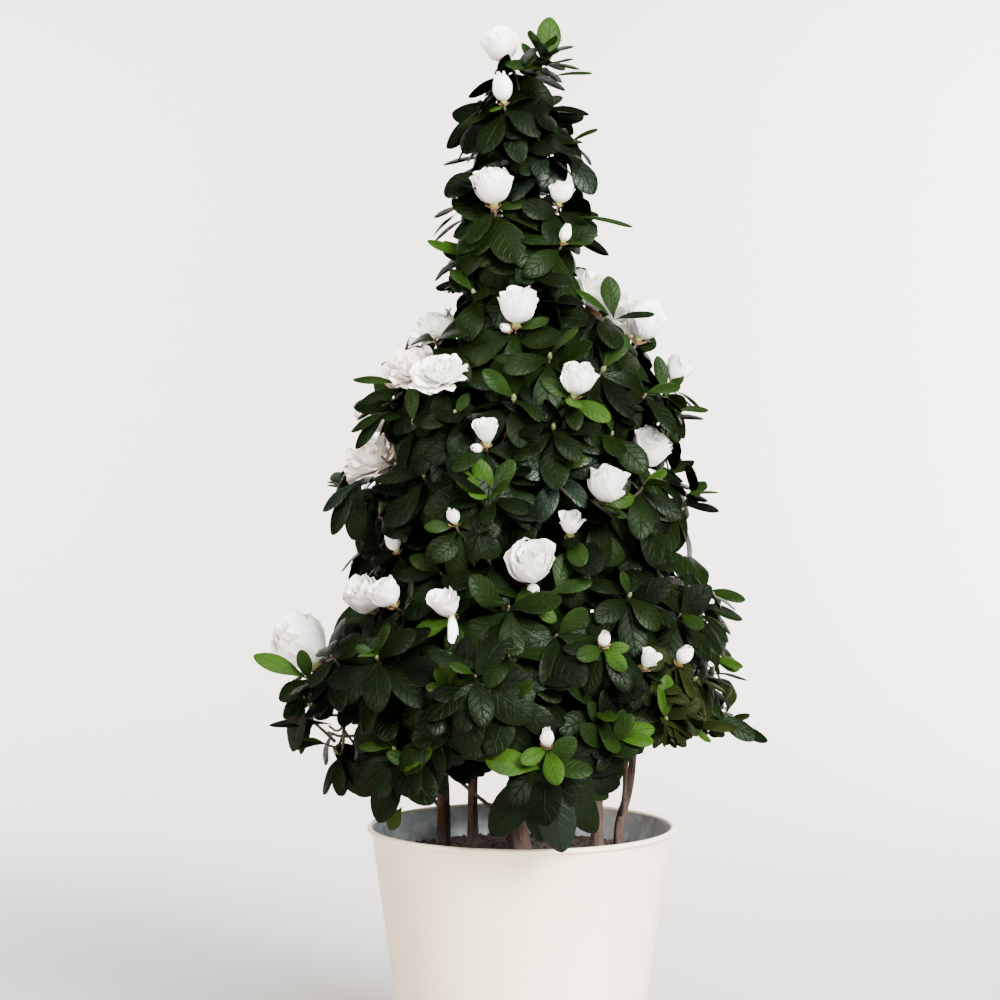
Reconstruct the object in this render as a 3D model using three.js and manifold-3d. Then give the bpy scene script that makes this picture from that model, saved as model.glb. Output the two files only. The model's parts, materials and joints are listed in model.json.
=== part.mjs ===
// A potted azalea shrub trained to a cone, in bloom.
// Seven woody stems rise from the soil of a round metal pot, and boughs leave the stems. Every stem tip and
// every bough tip carries one mass of foliage: a short stem, twigs, rosettes of leaves, and double blooms.
// Millimetres, +Z up. The origin is the centre of the pot's flat underside, and -Y is the front.
// A bearing is an angle round the pot's axis in degrees: 0 is right (+X), 90 back, 180 left and 270 front.
import * as THREE from "three";
import { mergeVertices } from "three/addons/utils/BufferGeometryUtils.js";
import Module from "manifold-3d";

const wasm = await Module();
wasm.setup();

// Clearance between neighbouring solids
const GAP = 0.3;

// Seed of every repeatable random number, the factors that spread it, and the draws that each use takes.
// The leaves' draws go on from there, one for every leaf of a shoot.
const SCATTER = 4.7;
const SPREAD = { item: 12.9898, draw: 78.233, wave: 43758.5453 };
const DRAWS = { height: 1, bearing: 2, lift: 3, turn: 4, leafTurn: 10, leafLength: 30, leafWidth: 50 };

// Corners of a mesh that lie nearer than this are one corner
const MERGE_DISTANCE = 1e-4;

// The pot and its soil
const POT_HEIGHT = 215;
const POT_BASE_RADIUS = 86;
const POT_MOUTH_RADIUS = 117;
const POT_SHEET = 1.0;
const POT_FLOOR = 1.6;
const POT_FOOT_CHAMFER = 1.5;
const POT_SIDES = 40;
const RIM_BEAD_RADIUS = 2.0;
const RIM_BEAD_POINTS = 5;
const RIM_BEAD_FROM = -70;
const RIM_BEAD_TO = 180;
const SOIL_LEVEL = 193;
const SOIL_EDGE_DROP = 4;
const SOIL_FLAT_SHARE = 0.86;

// The crown's outline: [height, furthest reach to the left, furthest reach to the right]
const CROWN_OUTLINE = [
  [212, 118, 74],
  [245, 146, 80],
  [261, 162, 92],
  [276, 186, 168],
  [292, 188, 187],
  [320, 186, 168],
  [355, 198, 170],
  [372, 158, 170],
  [400, 148, 164],
  [432, 124, 120],
  [463, 151, 150],
  [500, 135, 128],
  [541, 126, 138],
  [572, 120, 110],
  [603, 92, 104],
  [634, 66, 82],
  [665, 72, 64],
  [696, 68, 54],
  [728, 60, 48],
  [765, 50, 52],
  [808, 40, 50],
  [839, 18, 28],
];
const CROWN_TOP = 839;
// The crown's underside: the lowest leaf to the left and to the right
const UNDERSIDE_LEFT = 235;
const UNDERSIDE_RIGHT = 270;
const OUTLINE_SLACK = 8;

// Tiers of foliage masses, from the skirt up: height of the middle, bearings of the masses, how far out the
// middle lies as a share of the reach, and how far in and below that middle the carrying limb ends
const TIERS = [
  { name: "skirt", height: 312, bearings: [12, 63, 115, 166, 218, 269, 321], out: 0.68, in: 26, below: 20 },
  { name: "low", height: 402, bearings: [38, 110, 182, 254, 326], out: 0.66, in: 22, below: 24 },
  { name: "middle", height: 494, bearings: [15, 105, 195, 285], out: 0.6, in: 20, below: 26 },
  { name: "high", height: 585, bearings: [50, 170, 290], out: 0.52, in: 20, below: 26 },
  { name: "neck", height: 672, bearings: [20, 200], out: 0.42, in: 10, below: 24 },
  { name: "top", height: 765, bearings: [270], out: 0, in: 0, below: 24 },
];
const CELL_MARGIN = 0.4;

// Stems: where the foot stands, its radius, how far it rises before it leans, and the mass that it carries
const STEMS = [
  { name: "leader", bearing: 90, distance: 6, radius: 6.0, straight: 60, carries: "top_1" },
  { name: "left", bearing: 194, distance: 62, radius: 5.4, straight: 40, carries: "middle_3" },
  { name: "back_left", bearing: 137, distance: 52, radius: 4.2, straight: 50, carries: "middle_2" },
  { name: "front", bearing: 262, distance: 42, radius: 4.6, straight: 34, carries: "middle_4" },
  { name: "right", bearing: 346, distance: 60, radius: 4.8, straight: 30, carries: "middle_1" },
  { name: "right_outer", bearing: 359, distance: 76, radius: 4.0, straight: 20, carries: "skirt_1" },
  { name: "back_right", bearing: 52, distance: 58, radius: 4.4, straight: 40, carries: "low_1" },
];
const STEM_TIP_RADIUS = 2.4;
const STEM_SIDES = 7;
const STEM_STEPS = 7;
const STEM_BOW = 3;
const STEM_LEAN_SHARE = 0.4;
const FLARE = 1.5;
const FLARE_HEIGHT = 16;

// Boughs: the mass that each carries, the stem that it leaves, and the height where it leaves
const BOUGHS = [
  { carries: "skirt_2", stem: "back_right", from: 244 },
  { carries: "skirt_3", stem: "back_left", from: 240 },
  { carries: "skirt_4", stem: "left", from: 262 },
  { carries: "skirt_5", stem: "left", from: 236 },
  { carries: "skirt_6", stem: "front", from: 248 },
  { carries: "skirt_7", stem: "right", from: 250 },
  { carries: "low_2", stem: "back_left", from: 318 },
  { carries: "low_3", stem: "left", from: 330 },
  { carries: "low_4", stem: "front", from: 318 },
  { carries: "low_5", stem: "right", from: 326 },
  { carries: "high_1", stem: "leader", from: 500 },
  { carries: "high_2", stem: "leader", from: 520 },
  { carries: "high_3", stem: "leader", from: 482 },
  { carries: "neck_1", stem: "leader", from: 606 },
  { carries: "neck_2", stem: "leader", from: 622 },
];
const BOUGH_RADIUS = 3.0;
const BOUGH_TIP_RADIUS = 2.0;
const BOUGH_SIDES = 5;
const BOUGH_STEPS = 4;
const BOUGH_BEND_SHARE = 0.4;
const BOUGH_BEND_RISE = 0.56;
const CURVE_SAMPLES = 200;

// Twigs inside a mass. They leave the mass's stem, or the outer half of an older twig, at joints that are
// shares of the way along it. The cost of a joint weighs its distance against the twig's turn.
const MASS_STEM_RADIUS = 1.9;
const MASS_STEM_SIDES = 4;
const MASS_STEM_JOINTS = [0.4, 0.65, 0.9];
const TWIG_RADIUS = 1.5;
const TWIG_TIP_RADIUS = 1.0;
const TWIG_SIDES = 3;
const TWIG_STEPS = 2;
const TWIG_JOINTS = [0, 0.6];
const TWIG_BEND_SHARE = 0.35;
const TWIG_TURN_COST = 1.5;

// Shoots spread over the crown. Each points outwards and upwards, the more upwards the higher it stands.
const SHOOT_COUNT = 130;
const LOWEST_SHOOT = 258;
const HIGHEST_SHOOT = 806;
const SHOOT_INSET = 22;
const SHOOT_LEAST_SHARE = 0.15;
const SHOOT_MARGIN = 4;
const SHOOT_DRAWN_IN = 0.04;
const CLEAR_OF_PLACED_SHOOTS = 32;
const GOLDEN_ANGLE = 137.508;
const SLICES = 240;
const HEIGHT_SCATTER = 12;
const BEARING_SCATTER = 16;
const LIFT_LOW = 38;
const LIFT_HIGH = 62;
const LIFT_SCATTER = 24;
const LIFT_FROM = 300;
const LIFT_TO = 700;
const TURN_SCATTER = 30;
// The shoot at the very top stands upright, to the right of the axis
const TOP_SHOOT = { item: 800, across: 16, height: 810 };

// Leaves stand round a shoot's tip as a rosette. Where one finds no room, a shorter one is tried.
const LEAVES_PER_ROSETTE = 8;
const LEAF_LENGTH = 52;
const LEAF_LENGTH_RANGE = [0.8, 1.1];
const LEAF_WIDTH = 26;
const LEAF_WIDTH_RANGE = [0.9, 1.1];
const LEAF_WIDEST = 0.62;
const LEAF_DROOP = 0.2;
const LEAF_EDGE_DROOP = 0.08;
const LEAF_SAG = 0.22;
const LEAF_TILTS = [62, 94];
const LEAF_TILTS_UNDER_BLOOM = [84, 104];
const LEAF_TILTS_AT_TOP = [34, 66];
const LEAF_TILTS_HANGING = [88, 114];
const LEAF_TURN_SCATTER = 12;
const LEAF_TRIES = [1, 0.84, 0.7, 0.58];
const HUB_RADIUS = 3.2;
const HUB_HEIGHT = 1.7;

// Shoots placed as they show from the front, most with a bloom or a bud and some with leaves alone:
// [across from the axis, height, the bloom's width, 1 where it stands behind the axis]
const PLACED_SHOOTS = [
  [-19, 818, 34, 1],
  [-15, 774, 17, 0],
  [-23, 701, 33, 0],
  [31, 700, 22, 0],
  [-3, 610, 36, 0],
  [69, 630, 54, 1],
  [98, 603, 36, 0],
  [-71, 606, 42, 1],
  [-94, 569, 40, 0],
  [-63, 572, 38, 0],
  [41, 553, 32, 0],
  [-26, 512, 20, 0],
  [-123, 504, 48, 1],
  [100, 501, 34, 0],
  [64, 477, 36, 0],
  [35, 443, 21, 0],
  [5, 419, 40, 0],
  [-123, 392, 36, 0],
  [-56, 387, 28, 0],
  [-172, 360, 50, 0],
  [90, 350, 18, 0],
  [117, 351, 16, 0],
  [16, 299, 16, 0],
  [33, 665, 14, 0],
  [-50, 452, 12, 0],
  [-96, 433, 14, 0],
  [57, 366, 13, 0],
  [122, 562, 22, 1],
  [-101, 394, 24, 0],
  [160, 302, 0, 0],
  [-164, 300, 0, 0],
  [-44, 652, 0, 0],
  [38, 744, 0, 0],
];
const FIRST_PLACED_ITEM = 900;
// The front shoot hangs out of the underside, down to the pot's rim
const HANGING_ITEM = FIRST_PLACED_ITEM + 22;
const HANGING_LEAF_LIMIT = POT_HEIGHT + 1;
const BLOOM_SEAT = 0.5;
const BLOOM_INSET = 0.4;
// Blooms on the sides and the back: on every fifth shoot, in these widths in turn
const FREE_BLOOM_EVERY = 5;
const FREE_BLOOM_WIDTHS = [18, 32, 26, 40, 22, 36];
const FREE_BLOOM_FRONT_LIMIT = -0.1;
// Rings from the seat up, [radius, height, ruffle of every second corner], as shares of half the width
const BLOOM_RINGS = [
  [0.8, 0.45, 0],
  [1.0, 1.15, 0.2],
  [0, 0.95, 0],
];
const BLOOM_SIDES = 6;
const BUD_RINGS = [
  [0.9, 0.9, 0],
  [0, 2.3, 0],
];
const BUD_SIDES = 4;
const BUD_BELOW_WIDTH = 24;

// Fused bodies lose the slivers that are smaller than this
const SLIVER = 0.05;

const radians = THREE.MathUtils.degToRad;
const degrees = THREE.MathUtils.radToDeg;
const mix = THREE.MathUtils.lerp;
const UP = new THREE.Vector3(0, 0, 1);

// A repeatable number from 0 to 1 for draw number `draw` of item number `item`
function chance(item, draw) {
  const wave = Math.sin(item * SPREAD.item + draw * SPREAD.draw + SCATTER) * SPREAD.wave;
  return wave - Math.floor(wave);
}

// The same, from -0.5 to 0.5
function scatter(item, draw) {
  return chance(item, draw) - 0.5;
}

function outward(bearing) {
  return new THREE.Vector3(Math.cos(radians(bearing)), Math.sin(radians(bearing)), 0);
}

function at(bearing, distance, height) {
  return outward(bearing).multiplyScalar(distance).setZ(height);
}

// Mixes a value on the right with one on the left for the bearings between them
function roundTheCrown(right, left, bearing) {
  return mix(right, left, (1 - Math.cos(radians(bearing))) / 2);
}

// How far the foliage reaches from the axis at a height, on a bearing
function reach(height, bearing) {
  const last = CROWN_OUTLINE.length - 1;
  const found = CROWN_OUTLINE.findIndex((row) => row[0] > height);
  const above = found < 0 ? last : Math.max(found, 1);
  const [low, high] = [CROWN_OUTLINE[above - 1], CROWN_OUTLINE[above]];
  const share = THREE.MathUtils.clamp((height - low[0]) / (high[0] - low[0]), 0, 1);
  return roundTheCrown(mix(low[2], high[2], share), mix(low[1], high[1], share), bearing);
}

// Solids

function solidOf(geometry) {
  const bare = geometry.clone();
  bare.deleteAttribute("normal");
  bare.deleteAttribute("uv");
  const merged = mergeVertices(bare, MERGE_DISTANCE);
  return new wasm.Manifold(
    new wasm.Mesh({
      numProp: 3,
      vertProperties: Float32Array.from(merged.attributes.position.array),
      triVerts: Uint32Array.from(merged.index.array),
    }),
  );
}

function geometryOf(solid) {
  const mesh = solid.getMesh();
  const geometry = new THREE.BufferGeometry().setFromPoints(cornersOf(solid));
  geometry.setIndex(Array.from(mesh.triVerts));
  geometry.computeVertexNormals();
  return geometry;
}

function cornersOf(solid) {
  const { numVert, numProp, vertProperties } = solid.getMesh();
  const corner = (_, i) => new THREE.Vector3().fromArray(vertProperties, i * numProp);
  return Array.from({ length: numVert }, corner);
}

function largestBody(solid) {
  return solid.decompose().reduce((a, b) => (a.volume() >= b.volume() ? a : b));
}

function boxed(solid) {
  const { min, max } = solid.boundingBox();
  return { solid, box: new THREE.Box3(new THREE.Vector3(...min), new THREE.Vector3(...max)) };
}

function clearOf(solid, others) {
  const own = boxed(solid).box;
  return others.every((other) => !other.box.intersectsBox(own) || other.solid.intersect(solid).isEmpty());
}

// A cylinder bent along a curve. radiusAt gives its radius for a share of the way along, and swell adds to
// that radius and to the tip.
function limbSolid(curve, radiusAt, { sides, steps, swell = 0, flatFoot = false }) {
  const geometry = new THREE.CylinderGeometry(1, 1, 1, sides, steps);
  const frames = curve.computeFrenetFrames(steps, false);
  const corners = geometry.attributes.position;
  for (let i = 0; i < corners.count; i++) {
    const share = corners.getY(i) + 0.5;
    const step = Math.round(share * steps);
    const centre = curve.getPointAt(share);
    if (step === steps) centre.addScaledVector(frames.tangents[step], swell);
    const radius = radiusAt(share) + swell;
    const corner = centre
      .clone()
      .addScaledVector(frames.normals[step], -corners.getX(i) * radius)
      .addScaledVector(frames.binormals[step], corners.getZ(i) * radius);
    if (flatFoot && step === 0) corner.z = centre.z;
    corners.setXYZ(i, corner.x, corner.y, corner.z);
  }
  return solidOf(geometry);
}

function taper(from, to) {
  return (share) => mix(from, to, share);
}

// A profile of [radius, height] points turned round the Z axis
function turnedSolid(profile) {
  const points = profile.map(([radius, height]) => new THREE.Vector2(radius, height));
  return solidOf(new THREE.LatheGeometry(points, POT_SIDES).rotateX(Math.PI / 2));
}

// The pot and the soil

function potWallAt(height) {
  return mix(POT_BASE_RADIUS, POT_MOUTH_RADIUS, height / POT_HEIGHT);
}

function potSolid() {
  const beadHeight = POT_HEIGHT - RIM_BEAD_RADIUS;
  const beadCentre = potWallAt(beadHeight) + RIM_BEAD_RADIUS - POT_SHEET;
  const bead = Array.from({ length: RIM_BEAD_POINTS }, (_, i) => {
    const turn = radians(mix(RIM_BEAD_FROM, RIM_BEAD_TO, i / (RIM_BEAD_POINTS - 1)));
    return [beadCentre + RIM_BEAD_RADIUS * Math.cos(turn), beadHeight + RIM_BEAD_RADIUS * Math.sin(turn)];
  });
  const profile = [
    [0, 0],
    [POT_BASE_RADIUS - POT_FOOT_CHAMFER, 0],
    [potWallAt(POT_FOOT_CHAMFER), POT_FOOT_CHAMFER],
    [potWallAt(beadHeight - RIM_BEAD_RADIUS), beadHeight - RIM_BEAD_RADIUS],
    ...bead,
    [potWallAt(POT_FLOOR) - POT_SHEET, POT_FLOOR],
    [0, POT_FLOOR],
  ];
  return turnedSolid(profile);
}

function soilSolid() {
  const radiusAt = (height) => potWallAt(height) - POT_SHEET - 2 * GAP;
  const bottom = POT_FLOOR + GAP;
  const edge = SOIL_LEVEL - SOIL_EDGE_DROP;
  const profile = [
    [0, bottom],
    [radiusAt(bottom), bottom],
    [radiusAt(edge), edge],
    [radiusAt(SOIL_LEVEL) * SOIL_FLAT_SHARE, SOIL_LEVEL],
    [0, SOIL_LEVEL],
  ];
  return turnedSolid(profile);
}

// The places of the masses

const masses = TIERS.flatMap((tier) =>
  tier.bearings.map((bearing, i) => {
    const distance = tier.out * reach(tier.height, bearing);
    return {
      name: `${tier.name}_${i + 1}`,
      centre: at(bearing, distance, tier.height),
      tip: at(bearing, Math.max(distance - tier.in, 0), tier.height - tier.below),
      shoots: [],
    };
  }),
);

function massNamed(name) {
  return masses.find((mass) => mass.name === name);
}

// A mass's own space is all that lies nearer its middle than any other mass's, less a margin
function inOwnSpace(point, mass, margin) {
  return masses.every((other) => {
    if (other === mass) return true;
    const across = other.centre.clone().sub(mass.centre).normalize();
    const border = mass.centre.clone().add(other.centre).multiplyScalar(0.5);
    return point.clone().sub(border).dot(across) < -margin;
  });
}

// Stems and boughs

function stemCurve(stem) {
  const foot = at(stem.bearing, stem.distance, SOIL_LEVEL + GAP);
  const tip = massNamed(stem.carries).tip;
  const rise = foot.clone().addScaledVector(UP, stem.straight);
  const lean = rise.clone().lerp(tip, STEM_LEAN_SHARE).addScaledVector(outward(stem.bearing), STEM_BOW);
  return new THREE.CatmullRomCurve3([foot, rise, lean, tip]);
}

// The radius tapers to the tip and flares over the last stretch down to the soil
function stemSolid(stem, swell) {
  const curve = stemCurve(stem);
  const length = curve.getLength();
  const radiusAt = (share) => {
    const flared = Math.max(0, 1 - (share * length) / FLARE_HEIGHT);
    return mix(stem.radius, STEM_TIP_RADIUS, share) * mix(1, FLARE, flared * flared);
  };
  return limbSolid(curve, radiusAt, { sides: STEM_SIDES, steps: STEM_STEPS, swell, flatFoot: true });
}

// A bough leaves the middle of its stem and rises in a bow to its mass
function boughSolid(bough, swell) {
  const stem = stemCurve(STEMS.find((other) => other.name === bough.stem));
  const tip = massNamed(bough.carries).tip;
  const from = stem.getPoints(CURVE_SAMPLES).find((point) => point.z >= bough.from);
  const bend = from.clone().lerp(tip, BOUGH_BEND_SHARE);
  bend.z = mix(from.z, tip.z, BOUGH_BEND_RISE);
  const curve = new THREE.QuadraticBezierCurve3(from, bend, tip);
  const radiusAt = taper(BOUGH_RADIUS, BOUGH_TIP_RADIUS);
  return limbSolid(curve, radiusAt, { sides: BOUGH_SIDES, steps: BOUGH_STEPS, swell });
}

const pot = potSolid();
const soil = soilSolid();

// Each limb as it is, and the space that it needs with the clearance round it
const limbs = [];
for (const stem of STEMS) {
  const space = stemSolid(stem, GAP);
  limbs.push({ name: `stem_${stem.name}`, carries: stem.carries, solid: stemSolid(stem, 0), space });
}
for (const bough of BOUGHS) {
  const stem = limbs.find((limb) => limb.name === `stem_${bough.stem}`);
  const solid = largestBody(boughSolid(bough, 0).subtract(stem.space));
  const space = boughSolid(bough, GAP);
  limbs.push({ name: `bough_to_${bough.carries}`, carries: bough.carries, solid, space });
}
const limbSpaces = limbs.map((limb) => boxed(limb.space));

// Shoots

function shootAxis(bearing, height, item) {
  const rise = mix(LIFT_LOW, LIFT_HIGH, THREE.MathUtils.smoothstep(height, LIFT_FROM, LIFT_TO));
  const lift = radians(rise + LIFT_SCATTER * scatter(item, DRAWS.lift));
  return at(bearing + TURN_SCATTER * scatter(item, DRAWS.turn), Math.cos(lift), Math.sin(lift));
}

function leafTilts(item, bloom) {
  if (item === TOP_SHOOT.item) return LEAF_TILTS_AT_TOP;
  if (item === HANGING_ITEM) return LEAF_TILTS_HANGING;
  return bloom ? LEAF_TILTS_UNDER_BLOOM : LEAF_TILTS;
}

// A shoot belongs to the mass with the nearest middle. One too near a border is drawn in until it is clear.
const shoots = [];
function addShoot(item, tip, axis, bloom) {
  const mass = masses.reduce((a, b) => (a.centre.distanceTo(tip) <= b.centre.distanceTo(tip) ? a : b));
  while (!inOwnSpace(tip, mass, SHOOT_MARGIN)) tip.lerp(mass.centre, SHOOT_DRAWN_IN);
  const upwards = axis.equals(UP);
  const side = upwards ? new THREE.Vector3(1, 0, 0) : axis.clone().cross(UP).normalize();
  const upright = axis.clone().cross(side);
  const shoot = { item, tip, axis, side, upright, bloom, tilts: leafTilts(item, bloom) };
  mass.shoots.push(shoot);
  shoots.push(shoot);
}

const topTip = new THREE.Vector3(TOP_SHOOT.across, 0, TOP_SHOOT.height);
addShoot(TOP_SHOOT.item, topTip, UP.clone(), 0);

// A placed shoot stands as deep in front of the axis, or behind it, as the crown reaches there
PLACED_SHOOTS.forEach(([across, height, width, behind], i) => {
  const side = reach(height, across < 0 ? 180 : 0) - (width > 0 ? width * BLOOM_INSET : SHOOT_INSET);
  const depth = Math.sqrt(Math.max(side * side - across * across, 0)) * (behind ? 1 : -1);
  const axis = shootAxis(degrees(Math.atan2(depth, across)), height, FIRST_PLACED_ITEM + i);
  const tip = new THREE.Vector3(across, depth, height).addScaledVector(axis, -width * BLOOM_SEAT);
  addShoot(FIRST_PLACED_ITEM + i, tip, axis, width);
});

// Heights that share the crown's girth out evenly, the lowest first
function evenHeights(count) {
  const heights = [];
  const sliceAt = (_, k) => mix(LOWEST_SHOOT, HIGHEST_SHOOT, (k + 0.5) / SLICES);
  const slices = Array.from({ length: SLICES }, sliceAt);
  const girths = slices.map((height) => reach(height, 0) + reach(height, 180) - SHOOT_INSET);
  const whole = girths.reduce((a, b) => a + b);
  let passed = 0;
  slices.forEach((height, k) => {
    passed += girths[k];
    while (passed >= ((heights.length + 0.5) / count) * whole) heights.push(height);
  });
  return heights;
}

// The other shoots, spread round the crown by the golden angle, clear of those that are placed already
const placed = shoots.slice();
evenHeights(SHOOT_COUNT).forEach((evenHeight, i) => {
  const height = evenHeight + HEIGHT_SCATTER * scatter(i, DRAWS.height);
  const bearing = i * GOLDEN_ANGLE + BEARING_SCATTER * scatter(i, DRAWS.bearing);
  const edge = reach(height, bearing);
  const tip = at(bearing, Math.max(edge - SHOOT_INSET, SHOOT_LEAST_SHARE * edge), height);
  const near = (other) => other.tip.distanceTo(tip) < CLEAR_OF_PLACED_SHOOTS;
  if (placed.some(near)) return;
  const free = i % FREE_BLOOM_EVERY === 0 && outward(bearing).y > FREE_BLOOM_FRONT_LIMIT;
  const bloom = free ? FREE_BLOOM_WIDTHS[(i / FREE_BLOOM_EVERY) % FREE_BLOOM_WIDTHS.length] : 0;
  addShoot(i, tip, shootAxis(bearing, height, i), bloom);
});

// Skins: closed shapes over loops of corners

// A loop is a list of [corner, turn], the turn in degrees round the way from the first loop to the last.
// Turns rise along a loop, all loops go the same way round, and the first and last are single corners.
function skinOf(loops) {
  const corners = loops.flat().map(([corner]) => corner);
  const faces = [];
  let first = 0;
  for (let n = 0; n + 1 < loops.length; n++) {
    const [lower, upper] = [loops[n], loops[n + 1]];
    const [low, high] = [first, first + lower.length];
    let [i, j] = [0, 0];
    while (i < stepsOf(lower) || j < stepsOf(upper)) {
      const [a, c] = [low + (i % lower.length), high + (j % upper.length)];
      if (nextTurn(lower, i) <= nextTurn(upper, j)) {
        i += 1;
        faces.push(a, low + (i % lower.length), c);
      } else {
        j += 1;
        faces.push(a, high + (j % upper.length), c);
      }
    }
    first = high;
  }
  const geometry = new THREE.BufferGeometry().setFromPoints(corners);
  geometry.setIndex(faces);
  return solidOf(geometry);
}

function stepsOf(loop) {
  return loop.length > 1 ? loop.length : 0;
}

// The turn at the end of step i round a loop. A loop that is used up has none left.
function nextTurn(loop, i) {
  if (i >= stepsOf(loop)) return Infinity;
  return i + 1 < loop.length ? loop[i + 1][1] : loop[0][1] + 360;
}

// A loop round the shoot's axis: turns from its side direction, a radius, and heights above its tip
function loopRound(shoot, count, radius, heightAt) {
  return Array.from({ length: count }, (_, i) => {
    const turn = (i * 360) / count;
    return [spot(shoot, turn, radius, heightAt(i)), turn];
  });
}

function spot(shoot, turn, radius, height) {
  return shoot.tip
    .clone()
    .addScaledVector(shoot.side, Math.cos(radians(turn)) * radius)
    .addScaledVector(shoot.upright, Math.sin(radians(turn)) * radius)
    .addScaledVector(shoot.axis, height);
}

// Blooms

// An open double bloom is a cup with a ruffled edge and a sunken middle, and a bud is a spindle
function bloomLoops(shoot, swell) {
  const open = shoot.bloom >= BUD_BELOW_WIDTH;
  const size = shoot.bloom / 2 + swell;
  const sides = open ? BLOOM_SIDES : BUD_SIDES;
  const rings = open ? BLOOM_RINGS : BUD_RINGS;
  return rings.map(([radius, height, ruffle]) => {
    const heightAt = (i) => HUB_HEIGHT + size * (height + ruffle * (i % 2));
    return loopRound(shoot, radius > 0 ? sides : 1, size * radius, heightAt);
  });
}

// A bloom takes its place where it touches no limb and no bloom that is there already
const blooms = [];
for (const shoot of shoots.filter((other) => other.bloom)) {
  const seat = [[spot(shoot, 0, 0, 0), 0]];
  const space = boxed(skinOf([seat, ...bloomLoops(shoot, GAP)]));
  if (clearOf(space.solid, [...limbSpaces, ...blooms])) blooms.push({ shoot, ...space });
}

// Leaves

function inCrown(point, shoot) {
  const bearing = degrees(Math.atan2(point.y, point.x));
  const underside = roundTheCrown(UNDERSIDE_RIGHT, UNDERSIDE_LEFT, bearing);
  const lowest = shoot.item === HANGING_ITEM ? HANGING_LEAF_LIMIT : underside;
  const edge = reach(point.z, bearing) + OUTLINE_SLACK;
  return point.z > lowest && point.z < CROWN_TOP && Math.hypot(point.x, point.y) < edge;
}

function fits(solid, shoot, mass) {
  const inside = (corner) => inOwnSpace(corner, mass, CELL_MARGIN) && inCrown(corner, shoot);
  return cornersOf(solid).every(inside);
}

// The direction of leaf number k of a shoot. The leaves turn anticlockwise round the shoot's axis.
function leafDirection(shoot, k) {
  const aside = LEAF_TURN_SCATTER * scatter(shoot.item, DRAWS.leafTurn + k);
  const turn = (k * 360) / LEAVES_PER_ROSETTE + aside;
  const tilt = radians(shoot.tilts[k % shoot.tilts.length]);
  const out = spot(shoot, turn, Math.sin(tilt), Math.cos(tilt)).sub(shoot.tip);
  return out.addScaledVector(UP, -LEAF_SAG).normalize();
}

// One leaf: its right and left corners, its drooping tip, and the direction that its face looks in
function leafBlade(shoot, direction, length, width) {
  const face = shoot.axis.clone().addScaledVector(direction, -shoot.axis.dot(direction)).normalize();
  const across = face.clone().cross(direction);
  const corner = (along, aside, down) =>
    shoot.tip
      .clone()
      .addScaledVector(direction, along)
      .addScaledVector(across, aside)
      .addScaledVector(face, -down);
  return {
    face,
    right: corner(length * LEAF_WIDEST, -width / 2, length * LEAF_EDGE_DROOP),
    left: corner(length * LEAF_WIDEST, width / 2, length * LEAF_EDGE_DROOP),
    tip: corner(length, 0, length * LEAF_DROOP),
  };
}

// The space that a leaf needs: from just outside the hub to the tip, with the clearance above and below
function leafSpace(shoot, direction, blade) {
  const root = shoot.tip.clone().addScaledVector(direction, HUB_RADIUS);
  const rib = root.clone().lerp(blade.tip, LEAF_WIDEST);
  const thick = HUB_HEIGHT * (1 - LEAF_WIDEST) + GAP;
  const above = rib.clone().addScaledVector(blade.face, thick);
  const below = rib.clone().addScaledVector(blade.face, -thick);
  const corners = [root, blade.right, blade.tip, blade.left, above, below];
  const geometry = new THREE.BufferGeometry().setFromPoints(corners);
  geometry.setIndex([0, 1, 4, 1, 2, 4, 2, 3, 4, 3, 0, 4, 1, 0, 5, 2, 1, 5, 3, 2, 5, 0, 3, 5]);
  return boxed(solidOf(geometry));
}

// The blades round a shoot, with null where a leaf finds no room, and the spaces that they take
function growLeaves(shoot, mass, barred) {
  const taken = [];
  const blades = Array.from({ length: LEAVES_PER_ROSETTE }, (_, k) => {
    const direction = leafDirection(shoot, k);
    const length = LEAF_LENGTH * mix(...LEAF_LENGTH_RANGE, chance(shoot.item, DRAWS.leafLength + k));
    const width = LEAF_WIDTH * mix(...LEAF_WIDTH_RANGE, chance(shoot.item, DRAWS.leafWidth + k));
    for (const size of LEAF_TRIES) {
      const blade = leafBlade(shoot, direction, length * size, width * size);
      const space = leafSpace(shoot, direction, blade);
      if (fits(space.solid, shoot, mass) && clearOf(space.solid, [...barred, ...taken])) {
        taken.push(space);
        return blade;
      }
    }
    return null;
  });
  return { blades, taken };
}

// The rim of a rosette runs out round every leaf and back to a notch at the hub
function rosetteRim(shoot, blades) {
  const step = 360 / LEAVES_PER_ROSETTE;
  return blades.flatMap((blade, k) => {
    const turn = k * step;
    const notch = [spot(shoot, turn + step / 2, HUB_RADIUS, 0), turn + step / 2];
    if (!blade) return [notch];
    return [[blade.right, turn - step / 3], [blade.tip, turn], [blade.left, turn + step / 3], notch];
  });
}

// Twigs

// The line of a twig: from a joint to just under the shoot's hub, where it runs along the shoot's axis
function twigCurve(shoot, joint) {
  const end = spot(shoot, 0, 0, -HUB_HEIGHT);
  const bend = spot(shoot, 0, 0, -HUB_HEIGHT - TWIG_BEND_SHARE * joint.distanceTo(end));
  return new THREE.QuadraticBezierCurve3(joint, bend, end);
}

// Loops round a twig, from a single corner at its root to its end, where the loop fits its shoot's turns
function twigLoops(shoot, curve, swell) {
  const side = shoot.side.clone();
  const loops = [];
  for (let step = TWIG_STEPS; step >= 0; step--) {
    const share = step / TWIG_STEPS;
    const [centre, along] = [curve.getPointAt(share), curve.getTangentAt(share)];
    side.addScaledVector(along, -side.dot(along)).normalize();
    const upright = along.clone().cross(side);
    const radius = mix(TWIG_RADIUS, TWIG_TIP_RADIUS, share) + swell;
    const section = { tip: centre, side: side.clone(), upright, axis: along };
    loops.unshift(loopRound(section, TWIG_SIDES, radius, () => 0));
  }
  return [[[curve.getPointAt(0), 0]], ...loops];
}

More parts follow.
